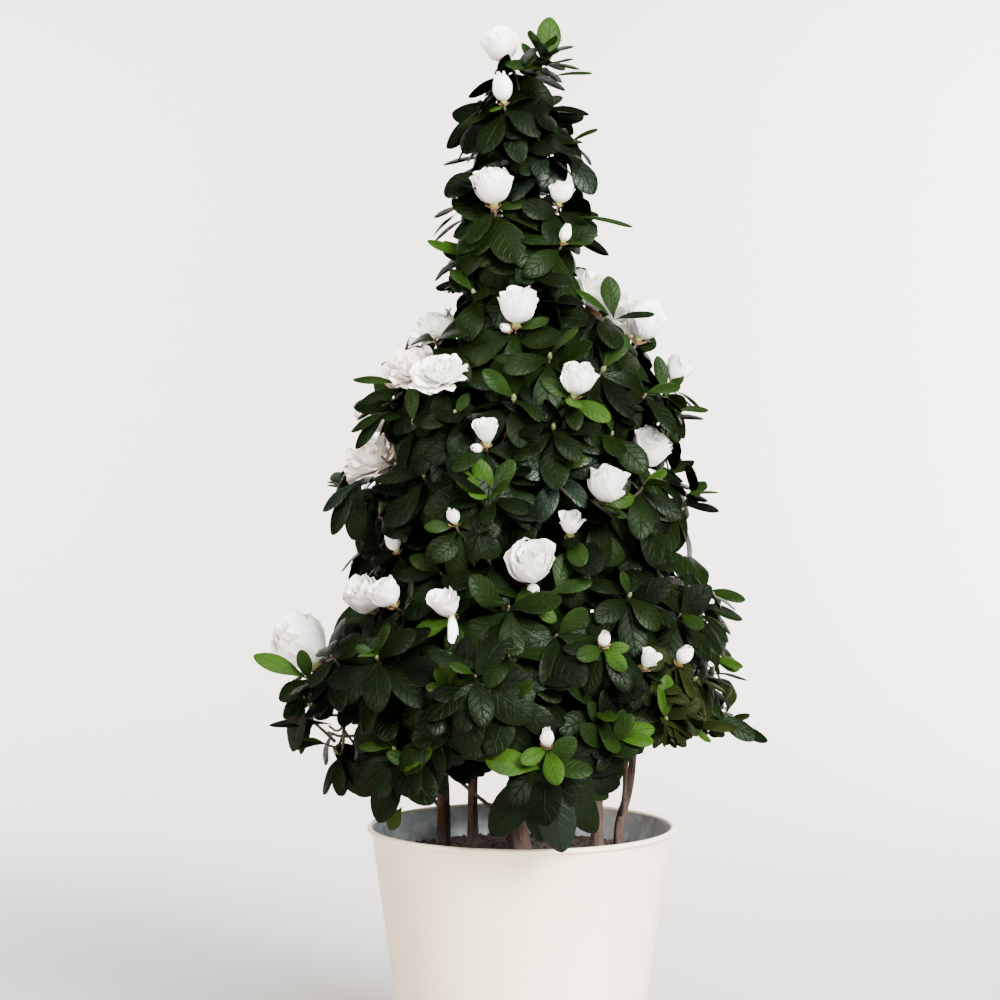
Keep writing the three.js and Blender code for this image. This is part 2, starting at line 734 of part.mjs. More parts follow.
// The space that a twig needs beyond its root, where it may touch what it grows from
function twigSpace(shoot, curve) {
  const loops = twigLoops(shoot, curve, GAP);
  return boxed(skinOf([...loops, [[curve.getPointAt(1), 0]]]));
}

// The twigs of a mass, the nearest to its middle first. Each leaves the mass's stem, or an older twig, at a
// joint that is near and well behind its shoot.
function growTwigs(mass, stemLine) {
  const joints = MASS_STEM_JOINTS.map((share) => stemLine.getPointAt(share));
  const fromMiddle = (shoot) => shoot.tip.distanceTo(mass.centre);
  const twigs = [];
  for (const shoot of mass.shoots.toSorted((a, b) => fromMiddle(a) - fromMiddle(b))) {
    const ahead = (joint) => shoot.tip.clone().sub(joint).dot(shoot.axis);
    const cost = (joint) => TWIG_TURN_COST * joint.distanceTo(shoot.tip) - ahead(joint);
    const curve = twigCurve(shoot, joints.reduce((a, b) => (cost(a) <= cost(b) ? a : b)));
    const space = twigSpace(shoot, curve);
    const otherBlooms = blooms.filter((bloom) => bloom.shoot !== shoot);
    if (!clearOf(space.solid, [...limbSpaces, ...otherBlooms])) continue;
    const [middle, end] = [curve.getPointAt(0.5), curve.getPointAt(1)];
    joints.push(...TWIG_JOINTS.map((share) => middle.clone().lerp(end, share)));
    twigs.push({ shoot, curve, ...space });
  }
  return twigs;
}

// Builds one mass: its short stem, and a twig with a rosette and perhaps a bloom for every shoot
function growMass(mass) {
  const carrier = limbs.find((limb) => limb.carries === mass.name);
  const stemLine = new THREE.LineCurve3(mass.tip, mass.centre);
  const shape = { sides: MASS_STEM_SIDES, steps: 1 };
  const pieces = [limbSolid(stemLine, taper(MASS_STEM_RADIUS, TWIG_RADIUS), shape).subtract(carrier.space)];
  const twigs = growTwigs(mass, stemLine);
  const barred = [...limbSpaces];
  for (const { shoot, curve } of twigs) {
    const others = [...twigs, ...blooms].filter((other) => other.shoot !== shoot);
    const { blades, taken } = growLeaves(shoot, mass, [...barred, ...others]);
    barred.push(...taken);
    const top = blooms.some((bloom) => bloom.shoot === shoot)
      ? [loopRound(shoot, TWIG_SIDES, TWIG_TIP_RADIUS, () => HUB_HEIGHT), ...bloomLoops(shoot, 0)]
      : [[[spot(shoot, 0, 0, HUB_HEIGHT), 0]]];
    pieces.push(skinOf([...twigLoops(shoot, curve, 0), rosetteRim(shoot, blades), ...top]));
  }
  return largestBody(wasm.Manifold.union(pieces).simplify(SLIVER));
}

const finish = {
  pot: new THREE.MeshStandardMaterial({ color: 0xede6d6, roughness: 0.35, metalness: 0.1 }),
  soil: new THREE.MeshStandardMaterial({ color: 0x2a1c16, roughness: 0.95, metalness: 0 }),
  bark: new THREE.MeshStandardMaterial({ color: 0x6b4a3a, roughness: 0.85, metalness: 0 }),
  foliage: new THREE.MeshStandardMaterial({ color: 0x1f3d22, roughness: 0.45, metalness: 0 }),
};

const azalea = new THREE.Group();
function show(name, solid, material) {
  const mesh = new THREE.Mesh(geometryOf(solid), material);
  mesh.name = name;
  azalea.add(mesh);
}

show("pot", pot, finish.pot);
show("soil", soil, finish.soil);
for (const limb of limbs) show(limb.name, limb.solid, finish.bark);
for (const mass of masses) show(`foliage_${mass.name}`, growMass(mass), finish.foliage);

export default azalea;
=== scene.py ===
import json
import math

import bpy
import numpy as np
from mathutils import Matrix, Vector

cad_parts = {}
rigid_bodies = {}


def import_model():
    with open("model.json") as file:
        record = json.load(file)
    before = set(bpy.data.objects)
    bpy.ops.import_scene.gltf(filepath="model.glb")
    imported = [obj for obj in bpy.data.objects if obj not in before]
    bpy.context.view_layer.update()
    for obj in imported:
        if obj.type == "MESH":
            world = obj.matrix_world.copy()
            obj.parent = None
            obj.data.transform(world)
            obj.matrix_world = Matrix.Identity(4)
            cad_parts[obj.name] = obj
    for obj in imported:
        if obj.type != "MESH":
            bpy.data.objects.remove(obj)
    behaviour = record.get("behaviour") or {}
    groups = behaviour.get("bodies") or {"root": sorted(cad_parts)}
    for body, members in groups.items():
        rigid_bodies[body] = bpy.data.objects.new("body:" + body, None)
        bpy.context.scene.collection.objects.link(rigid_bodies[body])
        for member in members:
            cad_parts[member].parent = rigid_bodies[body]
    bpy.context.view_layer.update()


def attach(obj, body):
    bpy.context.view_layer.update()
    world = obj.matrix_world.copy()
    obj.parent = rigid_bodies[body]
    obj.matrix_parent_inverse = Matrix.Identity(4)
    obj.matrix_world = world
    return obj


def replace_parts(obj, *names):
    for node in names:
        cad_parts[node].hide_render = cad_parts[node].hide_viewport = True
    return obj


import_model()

MM = 0.001
# The gap between the solids of the source
GAP = 0.3
# The seed of the repeatable draws, and the number of every kind of draw
SCATTER = 4.7
DRAWS = {name: first for first, name in [
    (1, "height"), (2, "bearing"), (3, "lift"), (4, "turn"), (5, "shade"), (6, "spin"), (7, "young"),
    (8, "young_spin"), (9, "size"), (20, "leaf_turn"), (40, "leaf_tilt"), (60, "leaf_length"),
    (80, "leaf_width"), (100, "leaf_bend"), (120, "leaf_shade"), (140, "leaf_wave"), (160, "young_tilt"),
    (180, "young_length"), (200, "low_place"), (220, "low_turn"), (240, "low_size"), (260, "petal_turn"),
    (262, "petal_lean"), (264, "petal_length"), (266, "frill"), (270, "side_bud"), (280, "stamen"),
    (285, "tip_bud"), (290, "leaf_roll"), (360, "low_roll"), (380, "young_roll"),
    (300, "soil_radius"), (301, "soil_turn"), (302, "soil_size"), (303, "soil_corner"), (340, "soil_lump"),
]}
UP = np.array([0.0, 0.0, 1.0])
FRONT = np.array([0.0, -1.0, 0.0])
GOLDEN_ANGLE = 137.508

# Pot and soil
POT_HEIGHT = 215
POT_BASE_RADIUS = 86
POT_MOUTH_RADIUS = 117
POT_SHEET = 1.0
POT_FOOT_ROLL = 1.5
# The underside stands up a little inside the foot: [how far in from the edge, height]
POT_UNDERSIDE = [(85.5, 1.2), (9, 1.2), (6, 0.4)]
POT_WALL_FROM = 8
POT_WALL_RINGS = 24
LINING_RINGS = 12
POT_SIDES = 160
RIM_BEAD_RADIUS = 2.0
RIM_BEAD_SEAM = 0.6
LINING_BELOW_SOIL = 20
SOIL_LEVEL = 193
SOIL_RINGS = 60
SOIL_SIDES = 120
SOIL_GRAIN = 0.9
CRUMB_COUNT = 1400
CRUMB_SIZES = (0.5, 2.1)
CRUMB_CORNERS = (0.5, 1.1)
CRUMB_INSET = 5

# The crown's outline: [height, furthest reach to the left, furthest reach to the right]
CROWN_OUTLINE = np.array([
    [212, 118, 74], [245, 146, 80], [261, 162, 92], [276, 186, 168], [292, 188, 187], [320, 186, 168],
    [355, 198, 170], [372, 158, 170], [400, 148, 164], [432, 124, 120], [463, 151, 150], [500, 135, 128],
    [541, 126, 138], [572, 120, 110], [603, 92, 104], [634, 66, 82], [665, 72, 64], [696, 68, 54],
    [728, 60, 48], [765, 50, 52], [808, 40, 50], [839, 18, 28],
], dtype=float)
CROWN_TOP = 839
OUTLINE_SLACK = 11
# How low the leaves may go: [bearing, height]. The underside opens in front of the stems.
LEAF_UNDERSIDE = np.array([
    [0, 288], [60, 270], [90, 260], [135, 248], [170, 256], [190, 274], [218, 274], [232, 250],
    [246, 258], [253, 286], [264, 286], [272, 262], [285, 268], [300, 284], [330, 290], [360, 288],
], dtype=float)
LOWEST_SHOOT_ABOVE = 10
# Openings at the edge of the crown, which let the wall show: [x, z, half their width, half their height]
CROWN_GAPS = [
    (-143, 289, 23, 12),
    (143, 444, 20, 13),
    (140, 507, 19, 9),
    (-136, 436, 14, 8),
    (50, 789, 15, 6),
]

# Tiers of masses: height of the middle, bearings, how far out the middle lies as a share of the reach,
# and how far in and below that middle the carrying limb ends
TIERS = [
    ("skirt", 312, [12, 63, 115, 166, 218, 269, 321], 0.68, 26, 20),
    ("low", 402, [38, 110, 182, 254, 326], 0.66, 22, 24),
    ("middle", 494, [15, 105, 195, 285], 0.6, 20, 26),
    ("high", 585, [50, 170, 290], 0.52, 20, 26),
    ("neck", 672, [20, 200], 0.42, 10, 24),
    ("top", 765, [270], 0.0, 0, 24),
]

# Stems: name, bearing and distance of the foot, radius, straight rise, and the mass carried
STEMS = [
    ("leader", 90, 6, 6.0, 60, "top_1"),
    ("left", 194, 62, 5.4, 40, "middle_3"),
    ("back_left", 137, 52, 4.2, 50, "middle_2"),
    ("front", 262, 42, 4.6, 34, "middle_4"),
    ("right", 346, 60, 4.8, 30, "middle_1"),
    ("right_outer", 359, 76, 4.0, 20, "skirt_1"),
    ("back_right", 52, 58, 4.4, 40, "low_1"),
]
STEM_TIP_RADIUS = 2.4
STEM_BOW = 3
STEM_LEAN_SHARE = 0.4
FLARE = 1.5
FLARE_HEIGHT = 16

# Boughs: the mass carried, the stem it leaves, and the height where it leaves
BOUGHS = [
    ("skirt_2", "back_right", 244), ("skirt_3", "back_left", 240), ("skirt_4", "left", 262),
    ("skirt_5", "left", 236), ("skirt_6", "front", 248), ("skirt_7", "right", 250),
    ("low_2", "back_left", 318), ("low_3", "left", 330), ("low_4", "front", 318), ("low_5", "right", 326),
    ("high_1", "leader", 500), ("high_2", "leader", 520), ("high_3", "leader", 482),
    ("neck_1", "leader", 606), ("neck_2", "leader", 622),
]
BOUGH_RADIUS = 3.0
BOUGH_TIP_RADIUS = 2.0
BOUGH_BEND_SHARE = 0.4
BOUGH_BEND_RISE = 0.56

# Thin branches low down: the stem they leave, the height where they leave it, and the mass they enter
LOW_BRANCHES = [
    ("left", 226, "skirt_4"), ("left", 246, "skirt_5"), ("left", 234, "low_3"), ("front", 222, "skirt_5"),
    ("front", 236, "low_4"), ("front", 228, "skirt_6"), ("right", 224, "skirt_6"), ("right", 234, "skirt_7"),
    ("right_outer", 220, "skirt_7"), ("right_outer", 230, "low_5"), ("back_left", 228, "skirt_3"),
    ("back_left", 240, "skirt_4"), ("back_right", 226, "skirt_1"), ("back_right", 236, "skirt_2"),
    ("leader", 240, "low_4"),
]
LOW_BRANCH_RADIUS = 1.7
LOW_BRANCH_TIP_RADIUS = 1.0
LOW_BRANCH_BEND_SHARE = 0.55
LOW_BRANCH_BEND_RISE = 0.4
LOW_BRANCH_STEPS = 14

# Points of a curve before it is evened out, of a stem where a branch looks for its place, and of the
# limbs that the leaves keep clear of
CURVE_STEPS = 60
STEM_STEPS = 200
STEM_PROBES = 60
BOUGH_PROBES = 24
# Rings and sides of a limb, and the number of its first relief of bark
STEM_RINGS, STEM_SIDES, STEM_BARK = 150, 28, 1
BOUGH_RINGS, BOUGH_SIDES, BOUGH_BARK = 60, 20, 20
BRANCH_SIDES = 8

# Twigs
MASS_STEM_RADIUS = 1.9
MASS_STEM_JOINTS = [0.4, 0.65, 0.9]
MASS_STEM_RINGS = 5
TWIG_RADIUS = 1.5
TWIG_TIP_RADIUS = 1.0
FINER_TWIG_SHARE = 0.85
TWIG_JOINTS = [0, 0.6]
TWIG_STEPS = 9
TWIG_SIDES = 7
TWIG_BEND_SHARE = 0.35
TWIG_TURN_COST = 1.5
HUB_HEIGHT = 1.7

# Shoots
SHOOT_COUNT = 130
LOWEST_SHOOT = 258
HIGHEST_SHOOT = 806
SHOOT_INSET = 22
SHOOT_LEAST_SHARE = 0.15
SHOOT_MARGIN = 4
SHOOT_DRAWN_IN = 0.04
PLACED_CLEARANCE = 32
SLICES = 240
HEIGHT_SCATTER = 12
BEARING_SCATTER = 16
LIFT_LOW = 38
LIFT_HIGH = 62
LIFT_SCATTER = 24
LIFT_FROM = 300
LIFT_TO = 700
TURN_SCATTER = 30
# The shoot at the very top: item, x and height
TOP_SHOOT = (800, 16, 810)

# Finer shoots between those: [first item, count, inset, share of the reach, least distance to the others]
FINER_SHOOTS = [
    (2000, 440, 18, 0.98, 34),
    (3000, 260, 22, 0.76, 33),
    (4000, 160, 22, 0.46, 36),
]

# Shoots placed as they show from the front, most with a bloom or a bud and some with leaves alone:
# [across from the axis, height, the bloom's width, 1 where it stands behind the axis]
PLACED_SHOOTS = [
    (-19, 818, 34, 1), (-15, 774, 17, 0), (-23, 701, 33, 0), (31, 700, 22, 0), (-3, 610, 36, 0),
    (69, 630, 54, 1), (98, 603, 36, 0), (-71, 606, 42, 1), (-94, 569, 40, 0), (-63, 572, 38, 0),
    (41, 553, 32, 0), (-26, 512, 20, 0), (-123, 504, 48, 1), (100, 501, 34, 0), (64, 477, 36, 0),
    (35, 443, 21, 0), (5, 419, 40, 0), (-123, 392, 36, 0), (-56, 387, 28, 0), (-172, 360, 50, 0),
    (90, 350, 18, 0), (117, 351, 16, 0), (16, 299, 16, 0), (33, 665, 14, 0), (-50, 452, 12, 0),
    (-96, 433, 14, 0), (57, 366, 13, 0), (122, 562, 22, 1), (-101, 394, 24, 0), (160, 302, 0, 0),
    (-164, 300, 0, 0), (-44, 652, 0, 0), (38, 744, 0, 0),
]
FIRST_PLACED_ITEM = 900
# Finer shoots that show one by one from the front: [across from the axis, height, the leaves' length]
FINER_PLACED_SHOOTS = [
    (-92, 290, 50), (-137, 282, 44), (-60, 300, 52), (66, 300, 44), (-8, 330, 54), (-34, 345, 52),
    (-134, 474, 48), (132, 470, 46), (-100, 540, 44), (112, 535, 46), (-112, 432, 50), (84, 440, 48),
    (24, 372, 54), (-22, 470, 54), (22, 520, 52), (96, 332, 30), (112, 312, 30), (128, 334, 28),
    (146, 322, 30), (156, 306, 28), (136, 302, 30),
]
FIRST_FINER_PLACED_ITEM = 1000
# The shoot that hangs down to the pot's rim, and how low the leaves of the hanging shoots may go. Below the
# last height they may reach as far out as at that height.
HANGING_ITEM = FIRST_PLACED_ITEM + 22
HANGING_LEAF_LIMITS = {HANGING_ITEM: 208, FIRST_FINER_PLACED_ITEM: 226, FIRST_FINER_PLACED_ITEM + 1: 246}
HANGING_REACH_FROM = 285

# Blooms with a look of their own: faded at the edges, wilted, with stamens that show, and only half open
# though they are large. The last gives the number of side buds of some.
# 912 takes this darker cream partly as painted shade, for a bloom that sits in shadow
FADED_ITEMS = {908, 912}
WILTED_ITEMS = {918}
STAMEN_ITEMS = {913}
HALF_OPEN_ITEMS = {916, 917, 903, 919}
SIDE_BUDS = {916: 2, 904: 1, 911: 1, 913: 1}
# Blooms smaller or larger than their room in the crown, and by how much
BLOOM_SIZES = {
    900: 0.88, 901: 1.1, 903: 0.85, 904: 0.88, 910: 0.86, 911: 0.9, 914: 0.86, 915: 0.88, 916: 0.88,
    917: 0.88, 918: 0.8, 919: 0.95, 920: 0.8, 921: 0.8, 922: 0.75, 923: 0.85, 924: 0.9, 926: 0.8,
}
# Blooms that turn to the front, and how far
TURNED_ITEMS = {919: 0.4, 917: 0.6, 908: 0.5, 909: 0.6, 912: 0.7, 907: 0.5, 916: 0.3, 914: 0.3}
# Blooms that stand further out than their mass reaches, and how much further [x, y, z]
FAR_OUT_ITEMS = {919: (-4, 0, -8)}
# By its width a bloom is closed up to the first, opening below the second, half open below the third
CLOSED_UP_TO_WIDTH = 17
HALF_OPEN_FROM_WIDTH = 24
OPEN_FROM_WIDTH = 38
# As shares of a bloom's width: how far below its place it sits and how far inside the outline, and the middle
# and the radius of the ball that it takes up
BLOOM_SEAT = 0.5
BLOOM_INSET = 0.4
BLOOM_MIDDLE = 0.55
BLOOM_BALL = 0.48
# How far a bloom turns up from its shoot
BLOOM_LIFT = 0.55
# Blooms that the photograph doesn't show: on every so many shoots at the sides and the back
FREE_BLOOM_EVERY = 5
FREE_BLOOM_WIDTHS = [18, 32, 26, 40, 22, 36]
FREE_BLOOM_FRONT_LIMIT = -0.1
# One of them would show at the right edge, where the photograph has none
LEFT_OUT_BLOOMS = {55}

# Leaves: round the tip of a shoot as a rosette, young ones in its heart, and old ones lower on its twig
LEAF_LENGTH = 50
HANGING_LEAF_LENGTH = 64
TOP_LEAF_LENGTH = 37
LEAF_WIDEST = 0.6
LEAF_ROWS = np.array([0, 0.06, 0.15, 0.26, 0.38, 0.5, 0.62, 0.74, 0.85, 0.93, 0.98])
LEAF_COLUMNS = np.array([-1, -0.55, 0, 0.55, 1])
# How far the leaves roll about their ribs, how far they wave, and how far their faces turn to the lit side
LEAF_ROLL = 70
LEAF_WAVE = 0.24
FACE_TO_FRONT = 0.35
# The shares of its size at which a leaf is tried, and how far it keeps from stems and boughs
LEAF_TRIES = [1, 0.8, 0.62]
LEAF_CLEARANCE = 4.5
# A leaf this far above the rim is clear of it. Of any other leaf no corner below the second height may lie in
# the ring round the rim, whose middle outside the mouth and half width follow.
RIM_CLEAR_ABOVE = 2
RIM_LOOKED_AT = 3
RIM_RING_MIDDLE = 2
RIM_RING_HALF = 5
# Rosettes: leaves by the level of the shoot, and for the innermost and the outermost leaf how far it spreads
# from the axis, sags and stands below the tip, and its share of the common length
LEAVES_IN_ROSETTE = [10, 9, 8, 7]
ROSETTE_SPREADS = (60, 98)
TOP_ROSETTE_SPREADS = (34, 70)
ROSETTE_SAGS = (0.14, 0.62)
ROSETTE_DEPTHS = (1, 10)
ROSETTE_SIZES = (0.72, 1.05)
SPREAD_UNDER_BLOOM = 12
ROSETTE_TURN_SCATTER = 16
ROSETTE_TILT_SCATTER = 14
# Ranges of the common length, of a leaf's length beside that, of its width beside its length, and of its bend
LEAF_SIZES = (0.8, 1.12)
LEAF_LENGTHS = (0.9, 1.1)
LEAF_WIDTHS = (0.41, 0.62)
LEAF_BENDS = (0.25, 0.95)
YOUNG_LEAVES = [4, 4, 0, 0]
YOUNG_SHOOT_SHARE = 0.22
YOUNG_TILTS = (22, 52)
YOUNG_TILT_AT_BLOOM = 26
YOUNG_LENGTHS = (0.36, 0.7)
YOUNG_WIDTH = 0.5
LOW_LEAVES = [5, 4, 3, 2]
LOW_LEAF_PLACES = (0.35, 0.92)
LOW_LEAF_SIZES = (0.7, 1.0)
LOW_LEAF_WIDTH = 0.52
LOW_LEAF_LEAN = 0.5
LOW_LEAF_SAGS = (0.25, 0.75)
# The twiggy part low on the right: where it begins and ends across, in height and in depth, its leaves' share
# of the common length and width, and how many more they are
FINE_ACROSS = (40, 90)
FINE_HEIGHTS = (350, 400)
FINE_DEPTHS = (40, 120)
FINE_LEAF_SHARE = 0.66
FINE_WIDTH_SHARE = 0.74
FINE_MORE_LEAVES = 3
# The lowest shoots hang: their leaves sag more, from the first height down to the second
HANG_FROM = 335
HANG_TO = 270
HANG_SAG = 0.6
HANGING_ITEM_SAG = 1.3
HANGING_ITEM_MORE_LEAVES = 3
# Shares of the leaf colours: inner ones, near-black as painted shade, among the inside shoots, olive ones in
# the twiggy part, the others counted up, and the leaves of a dark shoot that stay dark
INNER_SHADE_SHARE = 0.8
OLIVE_SHARE = 0.6
DARK_UP_TO = 0.58
MID_UP_TO = 0.84
BLUE_UP_TO = 0.95
STAYS_DARK_SHARE = 0.86

# Petals
PETAL_ROWS = np.linspace(0, 1, 8)
PETAL_COLUMNS = np.linspace(-1, 1, 9)
PETAL_PROFILE_STEPS = 24


def chance(item, draw, k=0):
    """A repeatable number from 0 to 1 for one draw of one item. Draws for many things go on by k."""
    wave = math.sin(item * 12.9898 + (DRAWS[draw] + k) * 78.233 + SCATTER) * 43758.5453
    return wave - math.floor(wave)


def between(low, high, item, draw, k=0):
    return low + (high - low) * chance(item, draw, k)


def scatter(item, draw, k=0):
    return chance(item, draw, k) - 0.5


def mix(a, b, share):
    return a + (b - a) * share


def smooth(value, low, high):
    share = min(max((value - low) / (high - low), 0), 1)
    return share * share * (3 - 2 * share)


def unit(vector):
    return vector / np.linalg.norm(vector)


def outward(bearing):
    return np.array([math.cos(math.radians(bearing)), math.sin(math.radians(bearing)), 0.0])


def at(bearing, distance, height):
    return outward(bearing) * distance + UP * height


def reach(height, bearing):
    """How far the foliage reaches from the axis at a height, on a bearing."""
    left = np.interp(height, CROWN_OUTLINE[:, 0], CROWN_OUTLINE[:, 1])
    right = np.interp(height, CROWN_OUTLINE[:, 0], CROWN_OUTLINE[:, 2])
    return mix(right, left, (1 - math.cos(math.radians(bearing))) / 2)


def lowest_leaf(bearing):
    """How low the leaves may go on a bearing."""
    return np.interp(bearing % 360, LEAF_UNDERSIDE[:, 0], LEAF_UNDERSIDE[:, 1])


def in_gap(x, z):
    """True inside an opening in the crown."""
    for middle, level, wide, high in CROWN_GAPS:
        if ((x - middle) / wide) ** 2 + ((z - level) / high) ** 2 < 1:
            return True
    return False


def round_axis(axis, side, turn):
    """The direction square to an axis that lies a turn in radians on from the side."""
    return side * math.cos(turn) + np.cross(axis, side) * math.sin(turn)


# Masses, limbs and shoots, by the rule of the part's source
class Mass:
    def __init__(self, name, centre, tip):
        self.name, self.centre, self.tip = name, centre, tip
        self.shoots = []


masses = []
for tier, height, bearings, out, tip_in, tip_below in TIERS:
    for number, bearing in enumerate(bearings, 1):
        distance = out * reach(height, bearing)
        tip = at(bearing, max(distance - tip_in, 0), height - tip_below)
        masses.append(Mass(f"{tier}_{number}", at(bearing, distance, height), tip))
mass_named = {mass.name: mass for mass in masses}


def in_own_space(point, mass, margin):
    for other in masses:
        if other is not mass:
            across = unit(other.centre - mass.centre)
            if np.dot(point - (mass.centre + other.centre) / 2, across) >= -margin:
                return False
    return True


class Shoot:
    def __init__(self, item, tip, axis, bloom, level):
        self.item, self.tip, self.axis, self.bloom, self.level = item, tip, axis, bloom, level
        self.side = unit(np.cross(axis, UP)) if axis[2] < 1 else np.array([1.0, 0.0, 0.0])
        self.upright = np.cross(axis, self.side)
        self.curve = self.parent = None
        self.leaves = 0

    def spot(self, turn, radius, height):
        turn = math.radians(turn)
        sideways = self.side * math.cos(turn) + self.upright * math.sin(turn)
        return self.tip + sideways * radius + self.axis * height

    def heading(self, turn, tilt):
        """The direction that leaves the tip at a turn round the axis and a tilt away from it, in degrees."""
        tilt = math.radians(tilt)
        return self.spot(turn, math.sin(tilt), math.cos(tilt)) - self.tip


def shoot_axis(bearing, height, item):
    rise = mix(LIFT_LOW, LIFT_HIGH, smooth(height, LIFT_FROM, LIFT_TO))
    lift = math.radians(rise + LIFT_SCATTER * scatter(item, "lift"))
    return at(bearing + TURN_SCATTER * scatter(item, "turn"), math.cos(lift), math.sin(lift))


shoots = []


def add_shoot(item, tip, axis, bloom=0, level=0):
    if item not in HANGING_LEAF_LIMITS:
        tip[2] = max(tip[2], lowest_leaf(math.degrees(math.atan2(tip[1], tip[0]))) + LOWEST_SHOOT_ABOVE)
    mass = min(masses, key=lambda other: np.linalg.norm(other.centre - tip))
    tip = tip + FAR_OUT_ITEMS.get(item, (0, 0, 0))
    while item not in FAR_OUT_ITEMS and not in_own_space(tip, mass, SHOOT_MARGIN):
        tip = mix(tip, mass.centre, SHOOT_DRAWN_IN)
    shoot = Shoot(item, tip, axis, bloom, level)
    mass.shoots.append(shoot)
    shoots.append(shoot)


def even_heights(count):
    """Heights that share the crown's girth out evenly, the lowest first."""
    slices = [mix(LOWEST_SHOOT, HIGHEST_SHOOT, (k + 0.5) / SLICES) for k in range(SLICES)]
    girths = [reach(height, 0) + reach(height, 180) - SHOOT_INSET for height in slices]
    heights, passed = [], 0
    for height, girth in zip(slices, girths):
        passed += girth
        while passed >= (len(heights) + 0.5) / count * sum(girths):
            heights.append(height)
    return heights


def spread_shoots(first, count, inset, share, taken, clearance):
    """Tips spread round the crown by the golden angle, each clear of those that are taken already."""
    for item, even_height in enumerate(even_heights(count), first):
        height = even_height + HEIGHT_SCATTER * scatter(item, "height")
        bearing = item * GOLDEN_ANGLE + BEARING_SCATTER * scatter(item, "bearing")
        edge = reach(height, bearing)
        tip = at(bearing, max(edge - inset, SHOOT_LEAST_SHARE * edge) * share, height)
        if all(np.linalg.norm(other.tip - tip) >= clearance for other in taken):
            yield item, tip, bearing, height


def place_shoot(item, across, height, width=0, behind=0, level=0):
    """Adds a shoot where it shows from the front, before the axis or behind it."""
    side = reach(height, 180 if across < 0 else 0) - (width * BLOOM_INSET if width else SHOOT_INSET)
    depth = math.sqrt(max(side * side - across * across, 0)) * (1 if behind else -1)
    axis = shoot_axis(math.degrees(math.atan2(depth, across)), height, item)
    add_shoot(item, np.array([across, depth, height]) - axis * width * BLOOM_SEAT, axis, width, level)


def free_bloom_width(item, bearing):
    """The width of the bloom on a shoot that the photograph doesn't show, and 0 where it has none."""
    if item % FREE_BLOOM_EVERY or outward(bearing)[1] <= FREE_BLOOM_FRONT_LIMIT or item in LEFT_OUT_BLOOMS:
        return 0
    return FREE_BLOOM_WIDTHS[item // FREE_BLOOM_EVERY % len(FREE_BLOOM_WIDTHS)]


add_shoot(TOP_SHOOT[0], np.array([TOP_SHOOT[1], 0.0, TOP_SHOOT[2]]), UP.copy())
for item, (across, height, width, behind) in enumerate(PLACED_SHOOTS, FIRST_PLACED_ITEM):
    place_shoot(item, across, height, width, behind)
placed = list(shoots)
for item, tip, bearing, height in spread_shoots(0, SHOOT_COUNT, SHOOT_INSET, 1, placed, PLACED_CLEARANCE):
    add_shoot(item, tip, shoot_axis(bearing, height, item), free_bloom_width(item, bearing))
for item, (across, height, _) in enumerate(FINER_PLACED_SHOOTS, FIRST_FINER_PLACED_ITEM):
    place_shoot(item, across, height, level=1)
for level, (first, count, inset, share, clearance) in enumerate(FINER_SHOOTS, 1):
    for item, tip, bearing, height in spread_shoots(first, count, inset, share, shoots, clearance):
        if height > lowest_leaf(bearing) and not in_gap(tip[0], tip[2]):
            add_shoot(item, tip, shoot_axis(bearing, height, item), 0, level)


# Lines: points along a curve, evenly spaced

def evenly(points, count):
    lengths = np.concatenate([[0], np.cumsum(np.linalg.norm(np.diff(points, axis=0), axis=1))])
    wanted = np.linspace(0, lengths[-1], count)
    return np.stack([np.interp(wanted, lengths, points[:, k]) for k in range(3)], axis=1)


def bent_line(a, b, c, count):
    t = np.linspace(0, 1, CURVE_STEPS)[:, None]
    return evenly((1 - t) ** 2 * a + 2 * t * (1 - t) * b + t * t * c, count)


def through_line(points, count):
    """A centripetal Catmull-Rom curve through the points."""
    ends = [2 * points[0] - points[1], *points, 2 * points[-1] - points[-2]]
    found = []
    t = np.linspace(0, 1, CURVE_STEPS)[:, None]
    for a, b, c, d in zip(ends, ends[1:], ends[2:], ends[3:]):
        ab, bc, cd = (math.sqrt(np.linalg.norm(q - p)) for p, q in ((a, b), (b, c), (c, d)))
        leave = ((b - a) / ab - (c - a) / (ab + bc) + (c - b) / bc) * bc
        arrive = ((c - b) / bc - (d - b) / (bc + cd) + (d - c) / cd) * bc
        swing = 3 * (c - b) - 2 * leave - arrive
        found.append(b + leave * t + swing * t**2 + (2 * (b - c) + leave + arrive) * t**3)
    return evenly(np.concatenate(found), count)


def stem_line(stem, count):
    _, bearing, distance, _, straight, carries = stem
    foot = at(bearing, distance, SOIL_LEVEL + GAP)
    tip = mass_named[carries].tip
    rise = foot + UP * straight
    lean = mix(rise, tip, STEM_LEAN_SHARE) + outward(bearing) * STEM_BOW
    return through_line([foot, rise, lean, tip], count)


def branch_line(stem_name, start, end, bend_share, bend_rise, count):
    """A line from the height where it leaves a stem to its end, with one bend."""
    stem = stem_line(next(stem for stem in STEMS if stem[0] == stem_name), STEM_STEPS)
    origin = stem[np.argmax(stem[:, 2] >= start)]
    bend = mix(origin, end, bend_share)
    bend[2] = mix(origin[2], end[2], bend_rise)
    return bent_line(origin, bend, end, count)


def bough_line(bough, count):
    carries, stem_name, start = bough
    return branch_line(stem_name, start, mass_named[carries].tip, BOUGH_BEND_SHARE, BOUGH_BEND_RISE, count)


# Twigs

limb_points = np.concatenate(
    [stem_line(stem, STEM_PROBES) for stem in STEMS] + [bough_line(bough, BOUGH_PROBES) for bough in BOUGHS])


def near_limb(points):
    gaps = np.linalg.norm(limb_points[None] - points[:, None], axis=2)
    return gaps.min() < LEAF_CLEARANCE


